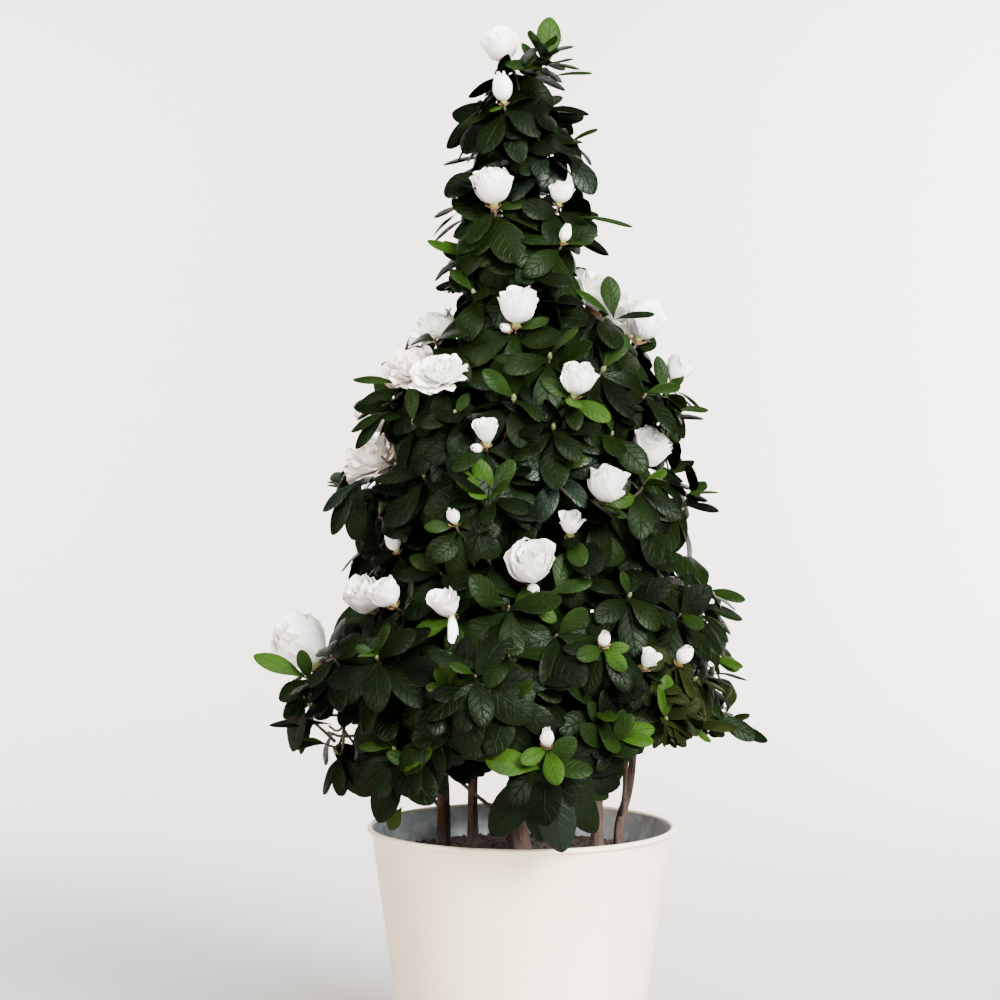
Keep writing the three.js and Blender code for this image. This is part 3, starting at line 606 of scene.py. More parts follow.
def grow_twigs(mass):
    """Gives every shoot of a mass the line of its twig, from the joint that is near and well behind it."""
    joints = [mix(mass.tip, mass.centre, share) for share in MASS_STEM_JOINTS]
    owners = [None] * len(joints)
    order = sorted(mass.shoots, key=lambda s: (s.level, np.linalg.norm(s.tip - mass.centre)))
    for shoot in order:
        def cost(joint):
            return TWIG_TURN_COST * np.linalg.norm(joint - shoot.tip) - np.dot(shoot.tip - joint, shoot.axis)
        chosen = min(range(len(joints)), key=lambda k: cost(joints[k]))
        joint, shoot.parent = joints[chosen], owners[chosen]
        end = shoot.spot(0, 0, -HUB_HEIGHT)
        bend = shoot.spot(0, 0, -HUB_HEIGHT - TWIG_BEND_SHARE * np.linalg.norm(end - joint))
        shoot.curve = bent_line(joint, bend, end, TWIG_STEPS)
        joints += [mix(shoot.curve[TWIG_STEPS // 2], end, share) for share in TWIG_JOINTS]
        owners += [shoot] * len(TWIG_JOINTS)


for mass in masses:
    grow_twigs(mass)


# Meshes

MOST_THINGS = 1600
# How far the closing point of a tube stands out, as a share of its last radius
TUBE_POINT = 0.4


class Heap:
    """The corners, faces and UVs of many small things that become one piece, or several numbered ones."""

    def __init__(self):
        self.points, self.faces, self.uvs = [], [], []

    def add(self, points, faces, uvs):
        self.points.append(points)
        self.faces.append(faces)
        self.uvs.append(uvs)

    def piece(self, name, material, slot):
        starts = np.cumsum([0] + [len(points) for points in self.points[:-1]])
        quads = np.concatenate([faces + start for faces, start in zip(self.faces, starts)])
        faces = [tuple(face) if face[2] != face[3] else tuple(face[:3]) for face in quads.tolist()]
        points = np.concatenate(self.points) * MM
        return mesh_piece(name, points, faces, np.concatenate(self.uvs), material)

    def pieces(self, name, material, slot):
        """Numbered pieces of up to MOST_THINGS things each."""
        made = []
        for first in range(0, len(self.points), MOST_THINGS):
            part, chosen = Heap(), slice(first, first + MOST_THINGS)
            part.points, part.faces, part.uvs = self.points[chosen], self.faces[chosen], self.uvs[chosen]
            made.append(part.piece(f"{name}_{len(made) + 1}", material, slot))
        return made


def mesh_piece(name, points, faces, uvs, material):
    mesh = bpy.data.meshes.new(name)
    mesh.from_pydata(points.tolist(), [], faces)
    corners = np.empty(len(mesh.loops), dtype=np.int32)
    mesh.loops.foreach_get("vertex_index", corners)
    mesh.uv_layers.new(name="UVMap").data.foreach_set("uv", uvs[corners].ravel())
    mesh.shade_smooth()
    mesh.materials.append(material)
    piece = bpy.data.objects.new(name, mesh)
    bpy.context.scene.collection.objects.link(piece)
    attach(piece, "root")
    return piece


def grid_faces(rows, columns, closed=False):
    """Quads of a grid of corners, row by row. A closed grid joins its last column to its first."""
    steps = columns if closed else columns - 1
    i, j = np.meshgrid(np.arange(rows - 1), np.arange(steps), indexing="ij")
    a, b = i * columns + j, i * columns + (j + 1) % columns
    return np.stack([a, b, b + columns, a + columns], axis=-1).reshape(-1, 4)


def tube(line, radii, sides):
    """Corners, faces and UVs of a round tube along a line, closed at its end by a point.

    It has a radius for every ring, or one for every corner of every ring.
    """
    radii = np.broadcast_to(np.reshape(radii, (len(line), -1)), (len(line), sides))
    along = np.gradient(line, axis=0)
    along /= np.linalg.norm(along, axis=1)[:, None]
    side = unit(np.cross(along[0], UP if abs(along[0][2]) < 0.9 else np.array([1.0, 0, 0])))
    turns = np.linspace(0, 2 * math.pi, sides, endpoint=False)
    rings = []
    for centre, direction, radius in zip(line, along, radii):
        side = unit(side - direction * np.dot(side, direction))
        other = np.cross(direction, side)
        round_it = np.cos(turns)[:, None] * side + np.sin(turns)[:, None] * other
        rings.append(centre + radius[:, None] * round_it)
    points = np.concatenate([*rings, [line[-1] + along[-1] * radii[-1].mean() * TUBE_POINT]])
    last = (len(line) - 1) * sides
    cap = [[last + k, last + (k + 1) % sides, len(points) - 1, len(points) - 1] for k in range(sides)]
    faces = np.concatenate([grid_faces(len(line), sides, closed=True), cap])
    v = np.repeat(np.linspace(0, 1, len(line)), sides)
    u = np.tile(np.linspace(0, 1, sides), len(line))
    return points, faces, np.concatenate([np.stack([u, v], axis=1), [[0.5, 1]]])


# Leaves

def leaf_outline(v):
    """Half the width of a leaf at a share of its length, as a share of half its greatest width."""
    rising = 0.07 + 0.93 * np.sin(np.clip(v / LEAF_WIDEST, 0, 1) * math.pi / 2) ** 1.5
    falling = np.clip(1 - ((v - LEAF_WIDEST) / (1 - LEAF_WIDEST)) ** 2, 0, 1) ** 0.6
    return np.where(v < LEAF_WIDEST, rising, falling)


LEAF_HALF_WIDTHS = leaf_outline(LEAF_ROWS)
LEAF_GRID = grid_faces(len(LEAF_ROWS), len(LEAF_COLUMNS))
LEAF_LAST_ROW = (len(LEAF_ROWS) - 1) * len(LEAF_COLUMNS)
LEAF_TIP = LEAF_LAST_ROW + len(LEAF_COLUMNS)
LEAF_TIP_FACES = np.array([[LEAF_LAST_ROW + k, LEAF_LAST_ROW + k + 1, LEAF_TIP, LEAF_TIP]
                           for k in range(len(LEAF_COLUMNS) - 1)])
LEAF_FACES = np.concatenate([LEAF_GRID, LEAF_TIP_FACES])
LEAF_UVS = np.array([[(u + 1) / 2, v] for v in LEAF_ROWS for u in LEAF_COLUMNS] + [[0.5, 1.0]])
# Corners on the rib that stand for the whole leaf, and for its outer half, where room is looked for
LEAF_PROBE = [row * len(LEAF_COLUMNS) + len(LEAF_COLUMNS) // 2 for row in (2, 5, 8, 9)] + [-1]
LEAF_END = [LEAF_PROBE[1], LEAF_PROBE[2], -1]


def leaf_points(root, direction, face, length, width, bend, fold, wave):
    """A leaf that leaves root in a direction: it bends down, its halves bulge beside the rib, and it waves.

    bend is the angle in radians that it bends through.
    """
    v = np.append(LEAF_ROWS, 1.0)
    along = length * np.sin(bend * v) / bend
    down = length * (1 - np.cos(bend * v)) / bend
    half = LEAF_HALF_WIDTHS[:, None] * width / 2
    u = LEAF_COLUMNS[None]
    rows = LEAF_ROWS[:, None]
    bulge = fold * (1.35 * np.abs(u) - u * u * (0.9 + 0.9 * rows))
    rise = half * (bulge + wave * u * np.sin(7 * rows + 10 * wave))
    aside = half * u * (1 - 0.06 * u * u)
    # The blade's own normal turns with the bend
    tilt = bend * rows
    x = along[:-1, None] + rise * np.sin(tilt)
    z = -down[:-1, None] + rise * np.cos(tilt)
    across = np.cross(face, direction)
    blade = root + x[..., None] * direction + aside[..., None] * across + z[..., None] * face
    tip = root + along[-1] * direction - down[-1] * face
    return np.concatenate([blade.reshape(-1, 3), [tip]])


# Materials

class Finish:
    """A node material that is built up round its Principled shader."""

    def __init__(self, name, **uniform):
        self.material = bpy.data.materials.new(name)
        self.material.use_nodes = True
        self.nodes = self.material.node_tree.nodes
        self.links = self.material.node_tree.links
        self.shader = self.nodes["Principled BSDF"]
        for socket, value in uniform.items():
            self.shader.inputs[socket.replace("_", " ")].default_value = value

    def node(self, kind, output=0, inputs=None, **settings):
        node = self.nodes.new(kind)
        for name, value in settings.items():
            setattr(node, name, value)
        for socket, value in (inputs or {}).items():
            self.put(node.inputs[socket], value)
        return node.outputs[output]

    def put(self, socket, value):
        if isinstance(value, bpy.types.NodeSocket):
            self.links.new(value, socket)
        else:
            socket.default_value = value

    def place(self):
        return self.node("ShaderNodeTexCoord", "Object")

    def noise(self, scale, detail=3.0, roughness=0.55, place=None):
        inputs = {"Vector": place or self.place(), "Scale": scale, "Detail": detail, "Roughness": roughness}
        return self.node("ShaderNodeTexNoise", "Fac", inputs)

    def maths(self, operation, a, b=0.0, c=0.0):
        return self.node("ShaderNodeMath", 0, {0: a, 1: b, 2: c}, operation=operation)

    def times(self, a, b):
        return self.maths("MULTIPLY", a, b)

    def plus(self, a, b):
        return self.maths("ADD", a, b)

    def uv(self):
        """The piece's own UVs: across from 0 to 1, and along from 0 to 1."""
        across = self.node("ShaderNodeSeparateXYZ", 0, {0: self.node("ShaderNodeTexCoord", "UV")})
        return across, across.node.outputs[1]

    def ramp(self, value, low, high, to_low=0.0, to_high=1.0):
        inputs = {"Value": value, "From Min": low, "From Max": high, "To Min": to_low, "To Max": to_high}
        return self.node("ShaderNodeMapRange", "Result", inputs, interpolation_type="SMOOTHSTEP")

    def blend(self, share, a, b):
        node = self.nodes.new("ShaderNodeMix")
        node.data_type = "RGBA"
        self.put(node.inputs["Factor"], share)
        self.put(node.inputs[6], a)
        self.put(node.inputs[7], b)
        return node.outputs[2]

    def bump(self, height, distance, strength=1.0):
        inputs = {"Height": height, "Distance": distance, "Strength": strength}
        self.put(self.shader.inputs["Normal"], self.node("ShaderNodeBump", 0, inputs))

    def colour(self, value):
        self.put(self.shader.inputs["Base Color"], value)

    def roughness(self, value):
        self.put(self.shader.inputs["Roughness"], value)


def rgb(red, green, blue):
    return (red, green, blue, 1.0)


def scaled(colour, factor):
    return rgb(*(min(channel * factor, 1) for channel in colour[:3]))


def leaf_finish(name, colour, sheen, gloss, vein):
    """Leathery leaf: sunken rib and side veins by its own UVs, and soft blotches of its colour."""
    f = Finish(name, Specular_IOR_Level=sheen, IOR=1.28, Specular_Tint=rgb(0.8, 1.0, 0.78))
    colour, vein = rgb(*colour), rgb(*vein)
    uv, length = f.uv()
    across = f.maths("ABSOLUTE", f.maths("SUBTRACT", uv, 0.5))
    rib = f.ramp(across, 0.0, 0.03, 1.0, 0.0)
    lean = f.maths("SUBTRACT", f.times(length, 7.0), f.times(across, 3.4))
    wave = f.maths("ABSOLUTE", f.maths("SUBTRACT", f.maths("FRACT", lean), 0.5))
    veins = f.ramp(wave, 0.0, 0.12, 1.0, 0.0)
    fine = f.noise(900.0, 3.0)
    cells = {"Vector": f.place(), "Scale": 330.0}
    net = f.node("ShaderNodeTexVoronoi", "Distance", cells, feature="DISTANCE_TO_EDGE")
    # A paler line in the vein colour along the edge: a painted rim light
    margin = f.ramp(across, 0.465, 0.5)
    shade = f.blend(f.ramp(f.noise(38.0, 2.0), 0.3, 0.7), scaled(colour, 0.72), scaled(colour, 1.3))
    for lines, strength in ((margin, 0.5), (veins, 0.12), (rib, 0.55)):
        shade = f.blend(f.times(lines, strength), shade, vein)
    f.colour(shade)
    f.roughness(f.ramp(fine, 0.3, 0.7, gloss - 0.05, gloss + 0.1))
    relief = f.plus(f.times(rib, -1.0), f.times(veins, -0.42))
    relief = f.plus(relief, f.times(fine, 0.1))
    relief = f.plus(relief, f.ramp(net, 0.0, 0.16, 0.0, 0.12))
    f.bump(relief, 0.0007, 0.9)
    return f.material


def petal_finish(name, colour, heart, flecks=None):
    """Soft crinkled petal, greener towards its root, and flecked towards its edge where flecks are given."""
    f = Finish(name, Roughness=0.55, Subsurface_Weight=0.45, Subsurface_Scale=0.007, Sheen_Weight=0.1)
    f.shader.inputs["Subsurface Radius"].default_value = (1.0, 1.0, 0.8)
    uv, length = f.uv()
    ribs = f.maths("SINE", f.plus(f.times(uv, 46.0), f.times(f.noise(200.0), 6.0)))
    shade = f.blend(f.ramp(length, 0.0, 0.4), heart, colour)
    if flecks:
        share = f.times(f.ramp(f.noise(260.0, 3.0), 0.52, 0.66), f.ramp(length, 0.45, 0.95))
        shade = f.blend(share, shade, flecks)
    f.colour(shade)
    f.bump(f.plus(f.times(ribs, 0.3), f.noise(420.0, 3.0)), 0.0007, 0.5)
    return f.material


def bark_finish(name, dark, light, scale):
    """Bark with cracks drawn out along the height, and paler patches."""
    f = Finish(name, Roughness=0.82)
    place = f.place()
    stretched = f.node("ShaderNodeMapping", 0, {0: place, "Scale": (1.0, 1.0, 0.22)})
    cracks = f.noise(scale, 5.0, 0.65, stretched)
    patches = f.noise(scale * 0.2, 2.0, 0.5, place)
    colour = f.blend(f.ramp(cracks, 0.35, 0.68), dark, light)
    f.colour(f.blend(f.ramp(patches, 0.4, 0.75, 0.0, 0.5), colour, scaled(light, 1.5)))
    f.bump(cracks, 0.0009, 0.8)
    return f.material


def painted_metal():
    """Cream paint: faint mottling, and a fine orange-peel in the gloss."""
    f = Finish("pot_paint", Specular_IOR_Level=0.3, Coat_Weight=0.08, Coat_Roughness=0.15)
    f.colour(f.blend(f.ramp(f.noise(5.0, 3.0), 0.35, 0.65), rgb(0.80, 0.68, 0.50), rgb(0.86, 0.75, 0.58)))
    f.roughness(f.ramp(f.noise(40.0, 4.0), 0.3, 0.7, 0.3, 0.44))
    f.bump(f.noise(700.0, 2.0), 0.00012, 0.35)
    return f.material


def zinc():
    """Bare galvanised sheet inside the pot, with soft spangle and a patchy gloss."""
    f = Finish("pot_zinc", Metallic=0.75)
    spangle = f.node("ShaderNodeTexVoronoi", "Color", {"Vector": f.place(), "Scale": 120.0})
    grey = f.node("ShaderNodeSeparateColor", 0, {0: spangle})
    f.colour(f.blend(f.ramp(grey, 0.0, 1.0), rgb(0.40, 0.43, 0.45), rgb(0.55, 0.58, 0.60)))
    f.roughness(f.ramp(f.noise(60.0, 4.0), 0.3, 0.7, 0.38, 0.6))
    return f.material


def peat():
    """Damp peat, dark with paler grains."""
    f = Finish("peat", Roughness=0.95)
    grain = f.noise(500.0, 5.0, 0.7)
    f.colour(f.blend(f.ramp(grain, 0.35, 0.7), rgb(0.016, 0.010, 0.007), rgb(0.075, 0.047, 0.032)))
    f.bump(grain, 0.002, 0.9)
    return f.material


BARK = bark_finish("bark", rgb(0.020, 0.010, 0.008), rgb(0.072, 0.038, 0.027), 240.0)
TWIG_BARK = bark_finish("twig_bark", rgb(0.022, 0.013, 0.007), rgb(0.060, 0.038, 0.019), 500.0)
# Leaf colours: the blade, its sheen and gloss, and the colour of its rib and veins and of its painted rim light
LEAF_COLOURS = {
    # Inner leaves are near-black: painted shade for leaves deep inside the crown
    "inner": ((0.0008, 0.0016, 0.0004), 0.09, 0.46, (0.003, 0.006, 0.002)),
    "dark": ((0.0013, 0.0030, 0.0006), 0.13, 0.35, (0.006, 0.011, 0.003)),
    "mid": ((0.0019, 0.0048, 0.0006), 0.13, 0.35, (0.009, 0.018, 0.004)),
    "olive": ((0.0050, 0.0070, 0.0009), 0.13, 0.40, (0.014, 0.019, 0.004)),
    # The blue leaves' bluish blade colour is a painted bluish-grey reflection, beside their real higher sheen
    "blue": ((0.0018, 0.0042, 0.0022), 0.32, 0.33, (0.007, 0.013, 0.008)),
    "fresh": ((0.0046, 0.0116, 0.0012), 0.15, 0.38, (0.016, 0.032, 0.005)),
    "young": ((0.0115, 0.0285, 0.0022), 0.15, 0.40, (0.028, 0.056, 0.009)),
}
LEAF_FINISHES = {shade: leaf_finish(f"leaf_{shade}", *looks) for shade, looks in LEAF_COLOURS.items()}
PETALS = petal_finish("petal", rgb(0.965, 0.945, 0.885), rgb(0.80, 0.83, 0.52))
FADED = petal_finish("petal_faded", rgb(0.89, 0.86, 0.80), rgb(0.80, 0.77, 0.52), rgb(0.60, 0.38, 0.20))
PEAT = peat()
SEPALS = petal_finish("sepal", rgb(0.30, 0.42, 0.10), rgb(0.34, 0.40, 0.10))
TIP_BUDS = petal_finish("tip_bud", rgb(0.050, 0.080, 0.012), rgb(0.040, 0.060, 0.010))
SCALES = petal_finish("bud_scale", rgb(0.32, 0.15, 0.05), rgb(0.20, 0.08, 0.03))


# Leaves on every shoot

foliage_nodes = [f"foliage_{mass.name}" for mass in masses]
leaf_heaps = {shade: Heap() for shade in LEAF_FINISHES}


def bloom_axis(shoot):
    return unit(shoot.axis + UP * BLOOM_LIFT + FRONT * TURNED_ITEMS.get(shoot.item, 0))


# The ball that every bloom takes up [x, y, z, radius], and those of the blooms that show from the front
blooming = [shoot for shoot in shoots if shoot.bloom]
bloom_balls = np.array([
    [*(shoot.tip + bloom_axis(shoot) * shoot.bloom * BLOOM_MIDDLE), shoot.bloom * BLOOM_BALL]
    for shoot in blooming
])
front_balls = bloom_balls[[shoot.item >= FIRST_PLACED_ITEM for shoot in blooming]]


def in_crown(points, shoot):
    """True where all points lie inside the crown. A hanging shoot's leaves may leave its underside."""
    for x, y, z in points:
        bearing = math.degrees(math.atan2(y, x))
        lowest, level = lowest_leaf(bearing), z
        if shoot.item in HANGING_LEAF_LIMITS:
            lowest, level = HANGING_LEAF_LIMITS[shoot.item], max(z, HANGING_REACH_FROM)
        if not (lowest < z < CROWN_TOP and math.hypot(x, y) < reach(level, bearing) + OUTLINE_SLACK):
            return False
    return True


def hides_bloom(points):
    """True for a leaf that would grow through a bloom, or hang before one that shows from the front."""
    gaps = np.linalg.norm(points[:, None] - bloom_balls[None, :, :3], axis=2)
    if (gaps < bloom_balls[None, :, 3]).any():
        return True
    x, y, z, radius = front_balls.T
    flat = np.hypot(points[:, None, 0] - x, points[:, None, 2] - z)
    return bool(((flat < radius) & (points[:, None, 1] < y)).any())


def meets_pot(points):
    """True for a leaf that comes too near the rim."""
    if points[:, 2].min() > POT_HEIGHT + RIM_CLEAR_ABOVE:
        return False
    low = points[points[:, 2] < POT_HEIGHT + RIM_LOOKED_AT]
    out = np.hypot(low[:, 0], low[:, 1]) - POT_MOUTH_RADIUS - RIM_RING_MIDDLE
    return bool((np.abs(out) < RIM_RING_HALF).any())


def place_leaf(shoot, shade, root, direction, length, width, bend, roll, wave=0.0, fold=0.3):
    """Adds a leaf where it finds room. A shorter one is tried where the first would leave the crown."""
    face = unit(shoot.axis - direction * np.dot(shoot.axis, direction))
    face = face * math.cos(roll) + np.cross(face, direction) * math.sin(roll) + FRONT * FACE_TO_FRONT
    face = unit(face - direction * np.dot(face, direction))
    for size in LEAF_TRIES:
        points = leaf_points(root, direction, face, length * size, width * size, bend, fold, wave)
        probe = points[LEAF_PROBE]
        if hides_bloom(probe) or any(in_gap(x, z) for x, _, z in probe):
            return
        if in_crown(points[LEAF_END], shoot) and not near_limb(probe) and not meets_pot(probe):
            leaf_heaps[shade].add(points, LEAF_FACES, LEAF_UVS)
            shoot.leaves += 1
            return


def fineness(shoot):
    """1 for a shoot in the twiggy part low on the right, falling to 0 round it."""
    x, y, z = shoot.tip
    return smooth(x, *FINE_ACROSS) * (1 - smooth(z, *FINE_HEIGHTS)) * (1 - smooth(y, *FINE_DEPTHS))


def shade_of(shoot):
    draw = chance(shoot.item, "shade")
    if shoot.item == TOP_SHOOT[0]:
        return "fresh"
    # Shoots deep inside the crown mostly take the near-black inner leaves, as painted shade
    if shoot.level >= 2:
        return "inner" if draw < INNER_SHADE_SHARE else "dark"
    if fineness(shoot) > 0.5 and draw < OLIVE_SHARE:
        return "olive"
    if draw < DARK_UP_TO:
        return "dark"
    if draw < MID_UP_TO:
        return "mid"
    # Blue leaves, with their painted bluish reflection, stay off the hanging shoots
    return "blue" if draw < BLUE_UP_TO and not hang(shoot) else "dark"


def hang(shoot):
    """How much a shoot's leaves sag beyond the common sag: none high up, and most at the underside."""
    return 0 if shoot.item == TOP_SHOOT[0] else 1 - smooth(shoot.tip[2], HANG_TO, HANG_FROM)


def leaf_size(shoot):
    """The common length of a shoot's leaves."""
    item = shoot.item
    if item == HANGING_ITEM:
        return HANGING_LEAF_LENGTH
    if item == TOP_SHOOT[0]:
        return TOP_LEAF_LENGTH
    if 0 <= item - FIRST_FINER_PLACED_ITEM < len(FINER_PLACED_SHOOTS):
        return FINER_PLACED_SHOOTS[item - FIRST_FINER_PLACED_ITEM][2]
    return LEAF_LENGTH * between(*LEAF_SIZES, item, "size") * mix(1, FINE_LEAF_SHARE, fineness(shoot))


def roll_of(item, draw, k):
    return math.radians(LEAF_ROLL * scatter(item, draw, k))


def grow_rosette(shoot, shade):
    """Leaves round the tip of a shoot, from the innermost out."""
    item, fine = shoot.item, fineness(shoot)
    sag, more = HANG_SAG * hang(shoot), 0
    if item == HANGING_ITEM:
        sag, more = HANGING_ITEM_SAG, HANGING_ITEM_MORE_LEAVES
    count = LEAVES_IN_ROSETTE[shoot.level] + round(FINE_MORE_LEAVES * fine) + more
    for k in range(count):
        age = k / (count - 1)
        turn = k * GOLDEN_ANGLE + 360 * chance(item, "spin")
        turn += ROSETTE_TURN_SCATTER * scatter(item, "leaf_turn", k)
        spread = mix(*ROSETTE_SPREADS, age) + (SPREAD_UNDER_BLOOM if shoot.bloom else 0)
        if item == TOP_SHOOT[0]:
            spread = mix(*TOP_ROSETTE_SPREADS, age)
        direction = shoot.heading(turn, spread + ROSETTE_TILT_SCATTER * scatter(item, "leaf_tilt", k))
        direction = unit(direction - UP * (mix(*ROSETTE_SAGS, age) + sag))
        length = leaf_size(shoot) * mix(*ROSETTE_SIZES, age) * between(*LEAF_LENGTHS, item, "leaf_length", k)
        width = length * between(*LEAF_WIDTHS, item, "leaf_width", k) * mix(1, FINE_WIDTH_SHARE, fine)
        bend = between(*LEAF_BENDS, item, "leaf_bend", k)
        own = "mid" if shade == "dark" and chance(item, "leaf_shade", k) > STAYS_DARK_SHARE else shade
        wave = LEAF_WAVE * scatter(item, "leaf_wave", k)
        root = shoot.tip - shoot.axis * mix(*ROSETTE_DEPTHS, age)
        place_leaf(shoot, own, root, direction, length, width, bend, roll_of(item, "leaf_roll", k), wave)


def grow_young_leaves(shoot):
    """Small upright leaves in the heart of a rosette, a few of them bright and many just fresh."""
    item = shoot.item
    bright = chance(item, "young") < YOUNG_SHOOT_SHARE or item in (HANGING_ITEM, TOP_SHOOT[0])
    for k in range(YOUNG_LEAVES[shoot.level] if bright else YOUNG_LEAVES[shoot.level] // 3):
        turn = k * GOLDEN_ANGLE + 360 * chance(item, "young_spin")
        tilt = between(*YOUNG_TILTS, item, "young_tilt", k) + (YOUNG_TILT_AT_BLOOM if shoot.bloom else 0)
        direction = unit(shoot.heading(turn, tilt))
        length = LEAF_LENGTH * between(*YOUNG_LENGTHS, item, "young_length", k)
        shade = "young" if bright and k % 3 == 0 else "fresh" if fineness(shoot) < 0.5 else "olive"
        roll = roll_of(item, "young_roll", k)
        width = length * YOUNG_WIDTH
        place_leaf(shoot, shade, shoot.tip, direction, length, width,
                   bend=0.4, roll=roll, wave=0.05, fold=0.5)


def grow_low_leaves(shoot, shade):
    """Older leaves that the twig still carries behind its rosette."""
    item = shoot.item
    for k in range(LOW_LEAVES[shoot.level]):
        step = between(*LOW_LEAF_PLACES, item, "low_place", k) * (len(shoot.curve) - 1)
        before, after = shoot.curve[int(step)], shoot.curve[int(step) + 1]
        root = mix(before, after, step % 1)
        along = unit(after - before)
        side = unit(np.cross(along, UP + 0.01))
        turn = k * math.radians(GOLDEN_ANGLE) + 6.3 * chance(item, "low_turn", k)
        aside = round_axis(along, side, turn)
        direction = unit(aside + along * LOW_LEAF_LEAN - UP * mix(*LOW_LEAF_SAGS, hang(shoot)))
        length = leaf_size(shoot) * between(*LOW_LEAF_SIZES, item, "low_size", k)
        width, roll = length * LOW_LEAF_WIDTH, roll_of(item, "low_roll", k)
        # Leaves behind the rosette take a darker colour as painted shade: blue ones dark, dark ones inner
        own = {"blue": "dark", "dark": "inner"}.get(shade, shade)
        place_leaf(shoot, own, root, direction, length, width, bend=0.5, roll=roll)


# Leaves that show one by one in the photograph, at the edge of the crown and low in front of it:
# colour, root, direction, the side that the face turns to, length and width
LONE_LEAVES = [
    ("young", (19, -4, 803), (0.12, -0.1, 1), (0.2, -1, 0), 40, 21),
    ("fresh", (17, -8, 796), (-0.55, -0.2, 1), (0.6, -1, 0.2), 30, 11),
    ("fresh", (18, -14, 799), (-1, -0.5, 0.2), (0.1, -0.8, 0.8), 34, 15),
    ("fresh", (22, -8, 794), (1, -0.3, 0.22), (0, -0.5, 1), 34, 12),
    ("fresh", (40, -30, 683), (1, -0.15, -0.02), (0.1, -0.5, 1), 46, 13),
    ("fresh", (70, -30, 606), (-0.1, -0.1, 1), (0.1, -1, 0), 33, 17),
    ("fresh", (68, -30, 607), (-0.75, -0.2, 0.75), (0.4, -0.7, 0.6), 34, 10),
    ("dark", (72, -30, 605), (1, -0.1, 0.3), (-0.2, -0.6, 1), 30, 15),
    ("fresh", (112, -6, 549), (-0.2, -0.1, 1), (0.1, -1, 0.1), 31, 12),
    ("fresh", (112, -6, 549), (0.6, -0.2, 0.8), (-0.3, -0.8, 0.4), 20, 10),
    ("fresh", (-92, -52, 554), (-1, -0.1, 0.26), (0.2, -0.6, 1), 36, 14),
    ("dark", (-90, -52, 551), (-1, -0.2, -0.2), (0, -0.7, 0.9), 34, 14),
    ("dark", (-101, -56, 533), (-0.75, -0.1, -0.66), (-0.4, -0.7, 0.6), 37, 15),
    ("mid", (-99, -56, 534), (-0.95, -0.1, -0.35), (-0.3, -0.6, 0.8), 34, 13),
    ("dark", (-124, -58, 480), (-0.52, -0.1, -0.85), (-0.5, -0.8, 0.3), 44, 17),
    ("dark", (-121, -60, 480), (-0.15, -0.15, -1), (-0.1, -1, 0.2), 44, 18),
    ("blue", (-122, -58, 481), (-0.8, -0.1, -0.5), (-0.3, -0.7, 0.7), 36, 14),
    ("young", (-160, -70, 334), (-0.86, -0.15, 0.5), (0.5, -0.9, 0.6), 44, 17),
    ("fresh", (-158, -70, 333), (-0.2, -0.5, 0.8), (0.2, -1, -0.4), 26, 12),
    ("blue", (-162, -64, 331), (-0.28, -0.1, -1), (-0.5, -0.9, 0.2), 54, 18),
    ("mid", (-160, -62, 333), (-0.86, -0.2, -0.5), (-0.3, -0.9, 0.5), 27, 17),
    ("dark", (-142, -60, 299), (-1, -0.1, 0.15), (0.1, -0.5, 1), 48, 13),
    ("young", (-88, -100, 243), (-0.55, 0, -0.85), (-0.3, -1, 0.2), 20, 12),
    ("young", (80, 0, 268), (-0.42, -0.1, -0.9), (0.2, -1, 0), 28, 13),
    ("fresh", (24, -122, 401), (0.3, 0.1, 1), (0.2, -1, 0), 30, 16),
    ("fresh", (18, -128, 400), (1, -0.15, 0.4), (0, -0.8, 0.7), 33, 14),
    ("young", (6, -132, 393), (0.8, -0.3, -0.5), (0.2, -1, 0.4), 22, 12),
    ("dark", (148, -64, 300), (1, -0.12, -0.2), (0, -0.6, 1), 38, 18),
    ("mid", (144, -70, 306), (1, -0.4, -0.45), (0, -0.9, 0.6), 34, 17),
    ("dark", (15, -165, 284), (-0.62, -0.04, -0.78), (-0.2, -1, 0.2), 66, 28),
    ("blue", (17, -167, 283), (0.16, -0.06, -1), (0, -1, 0.1), 65, 29),
    ("dark", (18, -164, 284), (0.58, -0.02, -0.8), (0.2, -1, 0.2), 62, 25),
    ("mid", (19, -160, 286), (0.85, 0.05, -0.5), (0.1, -0.9, 0.5), 52, 22),
    ("young", (12, -172, 280), (-1, -0.25, 0.32), (0, -0.8, 0.8), 40, 25),
    ("fresh", (14, -172, 282), (0.8, -0.3, 0.75), (0.3, -0.9, 0.4), 30, 16),
    ("fresh", (15, -174, 281), (1, -0.4, 0.1), (0, -0.8, 0.8), 34, 18),
]


def grow_lone_leaves():
    for shade, root, direction, face, length, width in LONE_LEAVES:
        direction = unit(np.array(direction, dtype=float))
        face = np.array(face, dtype=float)
        face = unit(face - direction * np.dot(face, direction))
        root = np.array(root, dtype=float)
        points = leaf_points(root, direction, face, length, width, bend=0.35, fold=0.35, wave=0.04)
        leaf_heaps[shade].add(points, LEAF_FACES, LEAF_UVS)


def leaves():
    """All leaves, in a piece or more for every colour. A shoot without a bloom gives way to the blooms."""
    for shoot in shoots:
        if shoot.bloom or not hides_bloom(shoot.tip[None]):
            shade = shade_of(shoot)
            grow_rosette(shoot, shade)
            grow_young_leaves(shoot)
            grow_low_leaves(shoot, shade)
    grow_lone_leaves()
    made = []
    for shade, heap in leaf_heaps.items():
        made += heap.pieces(f"leaves_{shade}", LEAF_FINISHES[shade], "foliage")
    return made


leaf_pieces = leaves()
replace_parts(leaf_pieces[0], *foliage_nodes)


# Twigs, stems and boughs

def carrying_shoots():
    """The shoots that bear a leaf or a bloom, and those that their twigs branch from."""
    carrying = set()
    for shoot in shoots:
        carrier = shoot if shoot.leaves or shoot.bloom else None
        while carrier:
            carrying.add(carrier)
            carrier = carrier.parent
    return carrying


